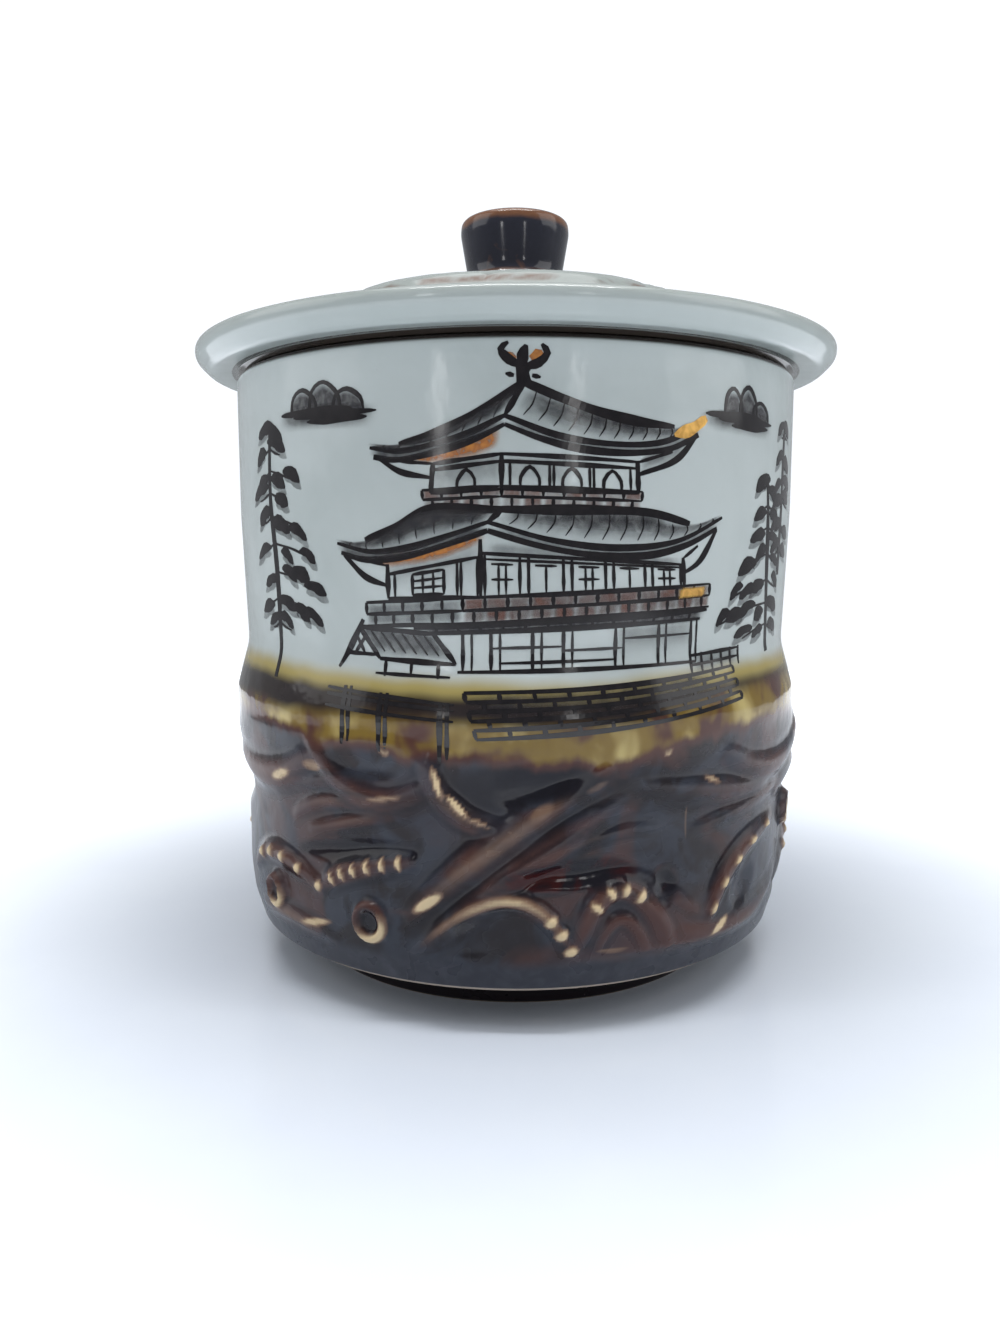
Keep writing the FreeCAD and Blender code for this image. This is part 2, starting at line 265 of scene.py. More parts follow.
@dataclass(frozen=True)
class Corner:
    """A corner of a turned outline, in millimetres.

    The pitch is the largest distance between the rows on the run that ends here.
    """

    radius: float
    height: float
    rounding: float = 0.0
    pitch: float = 3.0


@dataclass(frozen=True)
class Outline:
    """Half section of a turned piece, from the axis below to the axis above."""

    corners: tuple[Corner, ...]
    arc_step: float = math.radians(14)

    def points(self) -> list[Point]:
        """Works out the outline, with its bends as arcs.

        Returns:
            Its (radius, height) points.
        """
        points = [(self.corners[0].radius, self.corners[0].height)]
        for before, here, after in zip(self.corners, self.corners[1:], self.corners[2:]):
            bend = self._bend(before, here, after) if here.rounding else [(here.radius, here.height)]
            points += self._run(points[-1], bend[0], here.pitch)
            points += bend
        last = self.corners[-1]
        end = (last.radius, last.height)
        return points + self._run(points[-1], end, last.pitch) + [end]

    def _run(self, start: Point, end: Point, pitch: float) -> list[Point]:
        """Divides a straight run.

        Args:
            start: where it starts.
            end: where it ends.
            pitch: the largest distance between its points.

        Returns:
            The points between the two ends.
        """
        count = max(1, math.ceil(math.dist(start, end) / pitch))
        shares = [step / count for step in range(1, count)]
        return [(start[0] + (end[0] - start[0]) * t, start[1] + (end[1] - start[1]) * t) for t in shares]

    def _bend(self, before: Corner, here: Corner, after: Corner) -> list[Point]:
        """Rounds one corner, as far as its neighbours leave room.

        Args:
            before: the corner before it.
            here: the corner itself.
            after: the corner after it.

        Returns:
            Points of the arc, its two ends included.
        """
        corner = np.array((here.radius, here.height))
        back = np.array((before.radius, before.height)) - corner
        ahead = np.array((after.radius, after.height)) - corner
        back_room, ahead_room = np.linalg.norm(back), np.linalg.norm(ahead)
        back, ahead = back / back_room, ahead / ahead_room
        half = 0.5 * math.acos(max(-1.0, min(1.0, float(back @ ahead))))
        reach = min(here.rounding / math.tan(half), 0.49 * back_room, 0.49 * ahead_room)
        radius = reach * math.tan(half)
        middle = (back + ahead) / np.linalg.norm(back + ahead)
        centre = corner + middle * (radius / math.sin(half))
        turn = math.pi - 2.0 * half
        count = max(2, math.ceil(turn / self.arc_step), math.ceil(turn * radius / here.pitch))
        start, end = corner + back * reach - centre, corner + ahead * reach - centre
        points = []
        for step in range(count + 1):
            share = step / count
            weights = (math.sin((1.0 - share) * turn), math.sin(share * turn))
            point = centre + (start * weights[0] + end * weights[1]) / math.sin(turn)
            points.append((float(point[0]), float(point[1])))
        return points


def turned_piece(name: str, outline: list[Point], columns: int) -> bpy.types.Object:
    """Spins a half section into a closed shell.

    Args:
        name: the new piece's name.
        outline: (radius, height) points whose two ends lie on the axis, in millimetres.
        columns: number of steps round the axis.

    Returns:
        The new piece, with its normals outwards.
    """
    deselect()
    bpy.ops.mesh.primitive_circle_add(vertices=len(outline), fill_type="NOTHING")
    piece = bpy.context.object
    piece.name = name
    mesh = piece.data
    for vertex, (radius, height) in zip(mesh.vertices, outline):
        vertex.co = (radius * MM, 0.0, height * MM)
    ends = {0, len(outline) - 1}
    for edge in mesh.edges:
        edge.select = set(edge.vertices) == ends
    bpy.context.tool_settings.mesh_select_mode = (False, True, False)
    bpy.ops.object.mode_set(mode="EDIT")
    bpy.ops.mesh.delete(type="EDGE")
    bpy.ops.mesh.select_all(action="SELECT")
    bpy.ops.mesh.spin(steps=columns, angle=2.0 * math.pi, center=(0, 0, 0), axis=(0, 0, 1))
    bpy.ops.mesh.select_all(action="SELECT")
    bpy.ops.mesh.remove_doubles(threshold=1e-6)
    bpy.ops.mesh.normals_make_consistent(inside=False)
    bpy.ops.object.mode_set(mode="OBJECT")
    bpy.ops.object.shade_smooth()
    return piece


def read_points(piece: bpy.types.Object) -> np.ndarray:
    """Reads where a piece's vertices are.

    Args:
        piece: the piece.

    Returns:
        Rows of x, y and z in millimetres.
    """
    flat = np.empty(3 * len(piece.data.vertices))
    piece.data.vertices.foreach_get("co", flat)
    return flat.reshape(-1, 3) / MM


def write_points(piece: bpy.types.Object, points: np.ndarray) -> None:
    """Moves the piece's vertices, given in millimetres."""
    piece.data.vertices.foreach_set("co", (points * MM).ravel())
    piece.data.update()


def write_attribute(piece: bpy.types.Object, name: str, values: np.ndarray) -> None:
    """Gives each vertex of the piece a number for its material."""
    layer = piece.data.attributes.new(name, "FLOAT", "POINT")
    layer.data.foreach_set("value", values.astype(np.float32))


def dress(piece: bpy.types.Object, material: bpy.types.Material) -> None:
    """Gives a piece its finish and lets it ride on the part.

    Args:
        piece: the piece.
        material: its finish.
    """
    piece.data.materials.clear()
    piece.data.materials.append(material)
    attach(piece, BODY)
    LOG.info("%s: %d faces", piece.name, len(piece.data.polygons))


@dataclass(frozen=True)
class Ridge:
    """A soft raised band of the relief.

    The path is its start, middle and end as (angle from the front, height), the half width
    and rise are millimetres, and pale says how thinly the glaze lies on its crest.
    """

    half_width: float
    rise: float
    path: tuple[Point, Point, Point]
    pale: float = 0.2
    sharp: float = 2.0

    def along(self, share: np.ndarray, reach: float) -> np.ndarray:
        """Walks along the path, a curve through its three points.

        Args:
            share: shares of its length.
            reach: radius at which angles become distances.

        Returns:
            Rows of distance round the wall and height.
        """
        ends = np.array([(math.radians(a) * reach, z) for a, z in self.path])
        weights = np.stack(((1 - share) * (1 - 2 * share), 4 * share * (1 - share), share * (2 * share - 1)))
        return weights.T @ ends

    def nearest(
        self, round_wall: np.ndarray, height: np.ndarray, reach: float
    ) -> tuple[np.ndarray, np.ndarray]:
        """Finds the nearest point of the path for each vertex.

        Args:
            round_wall: distances round the wall from the front.
            height: heights above the foot plane.
            reach: radius at which angles become distances.

        Returns:
            The distance to the path, and the nearest share of it.
        """
        shares = np.linspace(0.0, 1.0, 61)
        path = self.along(shares, reach)
        away = np.hypot(round_wall[:, None] - path[None, :, 0], height[:, None] - path[None, :, 1])
        nearest = away.argmin(axis=1)
        return away[np.arange(len(away)), nearest], shares[nearest]

    def lift(self, distance: np.ndarray, share: np.ndarray) -> np.ndarray:
        """Works out how high the band is.

        Args:
            distance: distances to its path.
            share: nearest shares of the path.

        Returns:
            The rise at each vertex, in millimetres.
        """
        full = 0.85 * np.sin(math.pi * np.clip(share, 0.0, 1.0)) ** 0.5
        width = self.half_width * (0.45 + 0.85 * full)
        return self.rise * full * np.clip(1.0 - (distance / width) ** 2, 0.0, 1.0) ** self.sharp


@dataclass(frozen=True)
class Beads:
    """A row of beads along the crest of a ridge."""

    ridge: str
    count: int
    first: float
    last: float
    along: float = 0.72
    across: float = 1.25
    rise: float = 0.42


@dataclass(frozen=True)
class Spot:
    """A round or long mark on the wall: angle, height, half width, half height and tilt."""

    angle: float
    height: float
    half_width: float
    half_height: float
    tilt: float = 0.0

    def share(self, round_wall: np.ndarray, height: np.ndarray, reach: float) -> np.ndarray:
        """Tells how far out of the mark each vertex is.

        Args:
            round_wall: distances round the wall from the front.
            height: heights above the foot plane.
            reach: radius at which angles become distances.

        Returns:
            0 in the mark's middle and 1 on its edge.
        """
        across = round_wall - math.radians(self.angle) * reach
        up = height - self.height
        turn = math.radians(self.tilt)
        along = across * math.cos(turn) + up * math.sin(turn)
        beside = up * math.cos(turn) - across * math.sin(turn)
        return np.hypot(along / self.half_width, beside / self.half_height)


@dataclass
class Relief:
    """Moulded relief of the lower wall, the same on the front and the back."""

    reach: float
    ridges: dict[str, Ridge] = field(default_factory=lambda: {
        "left_crest": Ridge(2.6, 1.0, ((-70, 29.0), (-52, 27.6), (-36, 32.0)), 0.30),
        "left_bowl": Ridge(1.7, 0.85, ((-39, 34.0), (-27, 27.2), (-13, 30.4)), 0.30),
        "right_bowl": Ridge(1.8, 1.0, ((-15.5, 33.0), (-10.6, 26.6), (-1, 24.6)), 0.35),
        "ripple_top": Ridge(1.2, 0.45, ((-47, 26.2), (-36, 28.4), (-25, 28.4)), 0.10),
        "ripple_high": Ridge(1.3, 0.6, ((-46, 22.8), (-34, 26.2), (-20, 25.4)), 0.30),
        "ripple_low": Ridge(1.2, 0.6, ((-41, 21.9), (-30, 24.1), (-18, 26.0)), 0.30),
        "left_brow": Ridge(1.7, 0.9, ((-64, 13.4), (-52, 17.6), (-36, 14.6)), 0.35),
        "middle_brow": Ridge(1.8, 1.0, ((-38, 15.2), (-29, 18.5), (-17, 20.2)), 0.25),
        "long_ridge": Ridge(2.3, 1.1, ((-20, 13.0), (-4, 22.4), (16, 31.4)), 0.45),
        "slope_ridge": Ridge(2.3, 1.0, ((-18, 9.0), (1, 20.2), (23, 28.6)), 0.12),
        "slope_vein": Ridge(1.1, 0.5, ((-8, 17.2), (8, 24.6), (27, 26.6)), 0.20),
        "slope_fold": Ridge(1.0, 0.45, ((-2, 18.6), (12, 22.9), (26, 23.6)), 0.30),
        "far_slope": Ridge(2.0, 0.9, ((18, 28.8), (36, 27.2), (56, 26.2)), 0.20),
        "arch": Ridge(1.25, 1.15, ((-19, 8.8), (-2.2, 16.4), (9.5, 9.4)), 0.95),
        "fan": Ridge(1.7, 1.0, ((9, 9.2), (17.5, 17.2), (28, 9.2)), 0.35),
        "fan_heart": Ridge(1.0, 0.5, ((13, 9.4), (17.6, 13.6), (23, 9.2)), 0.20),
        "pool_lip": Ridge(1.3, 0.35, ((-4, 15.4), (15, 18.6), (35, 12.2)), 0.10),
        "right_brow": Ridge(1.8, 0.9, ((36, 10.8), (44, 18.0), (61, 21.2)), 0.30),
        "right_wave": Ridge(2.2, 0.9, ((38, 32.0), (57, 28.4), (76, 33.0)), 0.20),
        "right_vein": Ridge(1.2, 0.5, ((33, 22.6), (48, 24.2), (64, 25.6)), 0.25),
        "low_swell": Ridge(2.2, 0.8, ((28, 11.0), (46, 9.6), (66, 13.4)), 0.30),
        "left_foot": Ridge(1.6, 0.7, ((-62, 9.2), (-48, 10.2), (-34, 8.6)), 0.45),
        "side_crest": Ridge(2.6, 1.1, ((68, 10.6), (82, 17.2), (98, 11.8)), 0.35),
        "side_wave": Ridge(2.4, 1.0, ((60, 24.0), (78, 26.4), (98, 22.0)), 0.25),
    })
    beads: tuple[Beads, ...] = (
        Beads("left_brow", 5, 0.30, 0.94, 0.75, 1.0),
        Beads("middle_brow", 6, 0.22, 0.86, 0.48, 1.2),
        Beads("fan", 4, 0.26, 0.68, 0.62, 1.2),
        Beads("right_brow", 5, 0.12, 0.86, 1.1, 0.55),
        Beads("arch", 3, 0.80, 0.97, 0.8, 1.1),
        Beads("side_crest", 6, 0.20, 0.80, 0.6, 1.1),
    )
    thin: tuple[tuple[Spot, float], ...] = (
        (Spot(-47.0, 28.2, 2.6, 0.8, 20), 0.75),
        (Spot(-37.6, 30.2, 1.8, 0.9, 0), 0.55),
        (Spot(-22.7, 27.5, 2.8, 0.4, 10), 0.55),
        (Spot(-13.2, 29.8, 0.45, 2.2, 15), 0.85),
        (Spot(-10.0, 27.2, 0.45, 2.0, 40), 0.90),
        (Spot(-6.6, 25.4, 1.8, 0.35, -25), 0.60),
        (Spot(3.7, 26.5, 2.2, 1.0, 35), 0.38),
        (Spot(13.0, 29.2, 1.8, 0.7, 25), 0.34),
        (Spot(36.2, 28.6, 1.8, 0.5, -20), 0.60),
        (Spot(-15.4, 15.7, 2.4, 0.75, 35), 0.92),
        (Spot(-40.3, 10.4, 3.4, 0.6, 12), 0.70),
        (Spot(39.3, 10.3, 2.2, 0.6, 25), 0.90),
        (Spot(16.3, 10.0, 2.4, 0.4, 0), 0.45),
        (Spot(25.4, 32.8, 0.7, 0.7), 1.0),
        (Spot(-22.4, 33.0, 0.8, 0.8), 0.95),
        (Spot(31.5, 24.0, 0.28, 3.4, 4), 0.35),
    )
    pools: tuple[Spot, ...] = (
        Spot(3.0, 30.2, 10.5, 2.9, 8),
        Spot(-3.0, 28.9, 4.5, 2.4, 0),
        Spot(-34.0, 20.2, 8.0, 1.3, 8),
        Spot(-26.5, 12.8, 1.5, 1.6),
        Spot(-31.5, 13.6, 0.5, 1.5, 10),
        Spot(-17.5, 21.5, 0.6, 1.5, -25),
    )
    oxblood: tuple[Spot, ...] = (
        Spot(8.5, 19.0, 8.6, 2.0, 3),
        Spot(14.5, 19.4, 4.4, 1.9, -8),
        Spot(26.6, 17.4, 2.0, 1.9, -30),
    )
    eyes: tuple[Spot, ...] = (
        Spot(-52, 12.6, 2.1, 2.5),
        Spot(-26.6, 12.4, 2.5, 2.8),
        Spot(72, 20.4, 2.6, 2.6),
    )
    hollows: tuple[tuple[Spot, float], ...] = (
        (Spot(-80, 25.0, 10.0, 5.0), 1.3),
        (Spot(-30, 20.6, 9.0, 1.7, 8), 0.8),
        (Spot(9, 18.9, 8.5, 1.5, 3), 0.8),
        (Spot(26.5, 16.4, 1.7, 2.1, 20), 0.5),
        (Spot(-8, 11.4, 4.6, 2.4, 8), 0.45),
        (Spot(-26, 31.4, 5.6, 2.4, 0), 0.7),
        (Spot(4, 29.4, 6.0, 3.0, 8), 0.8),
        (Spot(47, 14.2, 3.4, 2.4, 35), 0.6),
    )
    lumps: tuple[tuple[float, float, float, float], ...] = (
        (3.0, 0.16, 0.4, 0.30),
        (5.0, 0.23, 2.1, 0.22),
        (8.0, 0.31, 4.4, 0.14),
    )
    low: float = 7.6
    high: float = 35.5

    def on_wall(self, angle: np.ndarray, height: np.ndarray) -> dict[str, np.ndarray]:
        """The relief at each point of the wall.

        Args:
            angle: degrees from the front, -180 to 180.
            height: millimetres above the foot plane.

        Returns:
            The rise in millimetres, and the shares of thin, pooled and oxblood glaze.
        """
        rise, pale, pool, ox = (np.zeros(len(angle)) for _ in range(4))
        for turn in (0.0, 180.0):
            local = (angle - turn + 180.0) % 360.0 - 180.0
            near = (np.abs(local) < 104.0) & (height > self.low) & (height < self.high)
            up, white, black, red = self._half(np.radians(local[near]) * self.reach, height[near])
            rise[near] = np.where(np.abs(up) > np.abs(rise[near]), up, rise[near])
            pale[near] = np.maximum(pale[near], white)
            pool[near] = np.maximum(pool[near], black)
            ox[near] = np.maximum(ox[near], red)
        edge = smooth_share((height - self.low) / 2.2) * smooth_share((self.high - height) / 2.0)
        for waves, upward, phase, size in self.lumps:
            rise += size * edge * np.sin(np.radians(angle) * waves + phase) * np.sin(upward * height + phase)
        return {"rise": rise * edge, "pale": pale * edge, "pool": pool, "ox": ox}

    def _half(self, across: np.ndarray, height: np.ndarray) -> tuple[np.ndarray, ...]:
        """Works out one half of the relief.

        Args:
            across: distances round the wall from the half's middle.
            height: heights above the foot plane.

        Returns:
            The rise, and the shares of thin, pooled and oxblood glaze.
        """
        total, pale, pool = (np.zeros(len(across)) for _ in range(3))
        for name, ridge in self.ridges.items():
            distance, share = ridge.nearest(across, height, self.reach)
            lift = ridge.lift(distance, share)
            total += lift ** 4
            pale = np.maximum(pale, ridge.pale * (lift / ridge.rise) ** 1.6)
            beside = np.exp(-((distance / ridge.half_width - 0.95) / 0.30) ** 2)
            pool = np.maximum(pool, 0.75 * beside * np.sin(math.pi * share) ** 0.5)
        rise = total ** 0.25
        for patch, strength in self.thin:
            share = patch.share(across, height, self.reach)
            pale = np.maximum(pale, strength * smooth_share((1.25 - share) / 0.8))
        for row in self.beads:
            bump, white = self._bead_row(row, across, height)
            rise += bump
            pale = np.maximum(pale, white)
        for eye in self.eyes:
            share = eye.share(across, height, self.reach)
            ring = np.clip(1.0 - ((share - 0.72) / 0.30) ** 2, 0.0, 1.0) ** 1.2
            inside = smooth_share((1.0 - share) / 0.2)
            rise = rise * (1.0 - inside) + 0.25 * inside + 0.85 * ring
            side = (across - math.radians(eye.angle) * self.reach) * 0.5 - (height - eye.height) * 0.8
            pale = np.maximum(pale * (1.0 - inside), ring * np.clip(0.45 + 0.35 * side, 0.05, 1.0))
        for hollow, depth in self.hollows:
            rise -= depth * np.clip(1.0 - hollow.share(across, height, self.reach) ** 2, 0.0, 1.0) ** 1.3
        for spot in self.pools:
            pool = np.maximum(pool, smooth_share((1.2 - spot.share(across, height, self.reach)) / 0.5))
        red = np.zeros(len(across))
        for spot in self.oxblood:
            red = np.maximum(red, smooth_share((1.1 - spot.share(across, height, self.reach)) / 0.35))
        return rise, pale, pool, red

    def _bead_row(self, row: Beads, across: np.ndarray, height: np.ndarray) -> tuple[np.ndarray, np.ndarray]:
        """Works out one row of beads.

        Args:
            row: the row.
            across: distances round the wall from the half's middle.
            height: heights above the foot plane.

        Returns:
            The beads' extra rise and their share of thin glaze.
        """
        ridge = self.ridges[row.ridge]
        places = np.linspace(row.first, row.last, row.count)
        middles = ridge.along(places, self.reach)
        aheads = ridge.along(places + 0.01, self.reach) - middles
        best = np.full(len(across), 9.0)
        for middle, ahead in zip(middles, aheads):
            ahead = ahead / np.linalg.norm(ahead)
            dx, dz = across - middle[0], height - middle[1]
            along = dx * ahead[0] + dz * ahead[1]
            beside = dz * ahead[0] - dx * ahead[1]
            best = np.minimum(best, np.hypot(along / row.along, beside / row.across))
        dome = np.clip(1.0 - best ** 2, 0.0, 1.0)
        return row.rise * dome, dome ** 0.8


@dataclass(frozen=True)
class Glaze:
    """A clear celadon glaze over white porcelain."""

    name: str = "celadon_glaze"
    tint: Colour = (0.51, 0.555, 0.545)
    deep: Colour = (0.44, 0.485, 0.475)
    roughness: float = 0.10

    def base(self, board: Board) -> Signal:
        """The glaze's colour, with the faint unevenness of a poured coat."""
        cloud = board.noise(board.place(), 60.0, 3.0, 0.6)
        return board.blend(cloud.rise(0.35, 0.75), self.tint, self.deep)

    def fleck(self, board: Board, colour: Signal) -> Signal:
        """Adds the few tiny iron specks that a fired glaze has.

        Args:
            board: the board of the glaze.
            colour: the colour without them.

        Returns:
            The specked colour.
        """
        cells = board.node(
            "ShaderNodeTexVoronoi", {"feature": "F1"}, {"Vector": board.place(), "Scale": 260.0}, "Distance"
        )
        rare = board.noise(board.place(), 420.0, 0.0).rise(0.70, 0.78)
        return board.blend(cells.rise(0.03, 0.09, 1.0, 0.0) * rare * 0.5, colour, (0.12, 0.10, 0.08))

    def polish(self, board: Board) -> None:
        """Gives gloss, and the slight waviness of a fired surface.

        Args:
            board: the board of the glaze.
        """
        wave = board.noise(board.place(), 90.0, 2.0)
        gloss = board.noise(board.place(), 300.0).rise(0.3, 0.8, self.roughness, self.roughness + 0.05)
        board.set(Roughness=gloss, IOR=1.5)
        board.bump(wave, 0.00012)


@dataclass(frozen=True)
class LandscapeGlaze(Glaze):
    """Celadon above, running through ochre into mottled dark brown over the relief."""

    name: str = "landscape_glaze"
    line: float = 41.3
    ochre: Colour = (0.195, 0.125, 0.025)
    straw: Colour = (0.48, 0.38, 0.15)
    amber: Colour = (0.36, 0.29, 0.10)
    olive: Colour = (0.018, 0.012, 0.010)
    umber: Colour = (0.013, 0.009, 0.011)
    slate: Colour = (0.031, 0.035, 0.049)
    rust: Colour = (0.078, 0.031, 0.024)
    tan: Colour = (0.225, 0.140, 0.092)
    cream: Colour = (0.70, 0.55, 0.33)
    pooled: Colour = (0.0085, 0.0075, 0.0120)
    oxblood: Colour = (0.040, 0.004, 0.004)
    clay: Colour = (0.42, 0.35, 0.29)

    def material(self) -> bpy.types.Material:
        """Makes the cup's finish, from the lip down to the foot ring.

        Returns:
            The material.
        """
        board = Board(self.name)
        x, y, z = board.axes()
        turn = board.node("ShaderNodeMath", {"operation": "ARCTAN2"}, {0: x, 1: 0.0 - y})
        out = (x * x + y * y) ** 0.5
        wave = board.noise(board.vector(x, y, z * 0.3), 0.075, 2.0, 0.3) - 0.5
        drip = board.noise(board.vector(x, y, z * 0.3), 0.30, 3.0, 0.3) - 0.5
        mottle = board.noise(board.vector(x, y, z * 0.7), 0.17, 2.5, 0.3)
        aside = (turn * turn).rise(0.10, 0.75)
        rightward = x.rise(11.0, 32.0)
        level = z + wave * 2.5 - 0.9 * aside
        colour = self.fleck(board, self.base(board))
        colour = board.blend(level.rise(self.line - 1.4, self.line + 0.8, 1.0, 0.0), colour, self.amber)
        shade = board.blend(mottle.rise(0.35, 0.65), self.olive, (0.024, 0.018, 0.018))
        colour = board.blend(level.rise(self.line - 2.9, self.line - 1.2, 1.0, 0.0), colour, shade)
        low = z + wave * 3.0 + mottle * 1.4 - 2.8 * rightward
        run = board.ramp(mottle, (0.38, self.rust), (0.52, self.ochre), (0.72, self.straw))
        colour = board.blend(low.rise(36.2, 38.4, 1.0, 0.0), colour, run)
        below = z + wave * 5.0 + drip * 3.0 - 1.5 * aside - 0.8 * rightward
        colour = board.blend(below.rise(32.6, 33.8, 1.0, 0.0), colour, self.rust)
        colour = board.blend(below.rise(31.4, 33.0, 1.0, 0.0), colour, self.lower(board, z))
        foot = out.rise(36.5, 37.6, 1.0, 0.0) * z.rise(5.15, 5.35, 1.0, 0.0)
        colour = board.blend(foot, colour, self.umber)
        bare = z.band(5.0, 0.30, 0.12) * out.rise(35.2, 35.5)
        line = z.band(2.1, 0.20, 0.15) * out.rise(28.4, 28.8)
        ring = line.larger(z.rise(0.10, 0.30, 1.0, 0.0) * out.rise(25.4, 25.6))
        colour = board.blend(bare.larger(ring), colour, self.clay)
        inside = out.rise(35.55, 35.65, 1.0, 0.0) * z.rise(8.0, 8.3)
        colour = board.blend(inside, colour, self.tint)
        # Painted shade: the rim's top under the lid is coloured near-black to stand for the dark gap between
        # lid and cup.
        lip = z.rise(77.0, 77.4) * out.rise(35.6, 36.2)
        colour = board.blend(lip, colour, (0.030, 0.024, 0.020))
        board.set(Base_Color=colour)
        self.polish_landscape(board, bare.larger(ring))
        return board.material

    def lower(self, board: Board, z: Signal) -> Signal:
        """Mixes the dark glaze, thin and pale on crests, thick and blue-black in hollows.

        Args:
            board: the board of the glaze.
            z: height in millimetres.

        Returns:
            The colour over the relief.
        """
        pale = board.attribute("pale")
        rise = board.attribute("rise")
        cloud = board.noise(board.place(), 150.0, 4.0, 1.2)
        fine = board.noise(board.place(), 520.0, 3.0, 0.4)
        ground = board.blend(cloud.rise(0.36, 0.58), self.umber, self.slate)
        patches = board.noise(board.place(), 62.0, 3.0, 1.0)
        warm = (rise.rise(0.05, 0.7) * patches.rise(0.34, 0.54)).larger(patches.rise(0.52, 0.64) * 0.7)
        colour = board.blend(warm * 0.9, ground, self.rust)
        thin = pale * (0.78 + fine * 0.4)
        colour = board.blend(thin.rise(0.12, 0.50) * 0.85, colour, self.tan)
        colour = board.blend(thin.rise(0.42, 0.85) * 0.95, colour, self.cream)
        colour = board.blend(fine.rise(0.60, 0.85) * 0.20, colour, (0.075, 0.077, 0.100))
        colour = board.blend(board.attribute("pool") * (1.0 - thin.rise(0.2, 0.5)) * 0.9, colour, self.pooled)
        plain = board.blend(fine.rise(0.4, 0.8), (0.024, 0.026, 0.037), (0.042, 0.044, 0.058))
        colour = board.blend(z.rise(7.6, 9.6, 1.0, 0.0), colour, plain)
        heart = board.blend(cloud.rise(0.45, 0.62), self.pooled, self.oxblood)
        return board.blend(board.attribute("ox"), colour, heart)

    def polish_landscape(self, board: Board, bare: Signal) -> None:
        """Gives gloss, with bare clay dull.

        Args:
            board: the board of the glaze.
            bare: 1 on bare clay.
        """
        wave = board.noise(board.place(), 160.0, 3.0)
        gloss = board.noise(board.place(), 260.0).rise(0.3, 0.8, self.roughness, self.roughness + 0.06)
        _, _, z = board.axes()
        thick = board.attribute("pool").larger(board.attribute("ox"))
        film = z.rise(31.0, 35.0, 1.0, 0.0) * (1.0 - thick) * 0.17
        board.set(Roughness=gloss + film + bare * 0.6, IOR=1.38)
        board.bump(wave, 0.0002)


@dataclass(frozen=True)
class LidGlaze(Glaze):
    """Celadon, with a brown-lined mound and a dark knob."""

    name: str = "lid_glaze_finish"
    # Painted shade: the lid's celadon is a darker copy of the cup's glaze, so that the lid reads darker than
    # the wall under the same light.
    tint: Colour = (0.40, 0.44, 0.425)
    deep: Colour = (0.35, 0.39, 0.375)
    knob: Colour = (0.026, 0.027, 0.040)
    thin_knob: Colour = (0.19, 0.085, 0.045)
    brown: Colour = (0.15, 0.060, 0.026)
    crown: float = 90.1

    def material(self) -> bpy.types.Material:
        """Makes the lid's finish, with the mound's brown line and the knob.

        Returns:
            The material.
        """
        board = Board(self.name)
        x, y, z = board.axes()
        out = (x * x + y * y) ** 0.5
        colour = self.fleck(board, self.base(board))
        edge = board.attribute("mound_edge")
        patchy = board.noise(board.place(), 170.0, 3.0, 0.5)
        colour = board.blend(edge.rise(0.5, 0.95) * patchy.rise(0.40, 0.58) * 0.8, colour, self.brown)
        stain = out.rise(9.0, 12.0, 1.0, 0.0) * z.rise(self.crown - 3.5, self.crown - 2.5)
        colour = board.blend(stain * patchy.rise(0.42, 0.66) * 0.25, colour, self.brown)
        # Painted shade: the lid's underside round the seat is coloured near-black to stand for the dark gap
        # over the cup's rim.
        seat = z.rise(78.3, 78.5, 1.0, 0.0) * out.band(36.4, 2.2, 0.2)
        colour = board.blend(seat, colour, (0.030, 0.024, 0.020))
        dark = out.rise(9.4, 9.9, 1.0, 0.0) * (z + patchy * 0.8).rise(self.crown - 0.2, self.crown + 0.5)
        crest = (z + patchy * 1.0).band(self.crown + 9.9, 0.25, 0.8)
        glaze = board.blend(crest * out.rise(5.0, 6.4), self.knob, self.thin_knob)
        foot = z.band(self.crown + 1.9, 0.30, 0.5) * patchy.rise(0.3, 0.6) * 0.8
        glaze = board.blend(foot, glaze, self.thin_knob)
        spots = board.noise(board.place(), 240.0, 3.0, 1.0).rise(0.62, 0.8) * 0.5
        glaze = board.blend(spots, glaze, self.thin_knob)
        colour = board.blend(dark, colour, glaze)
        board.set(Base_Color=colour)
        self.polish(board)
        return board.material


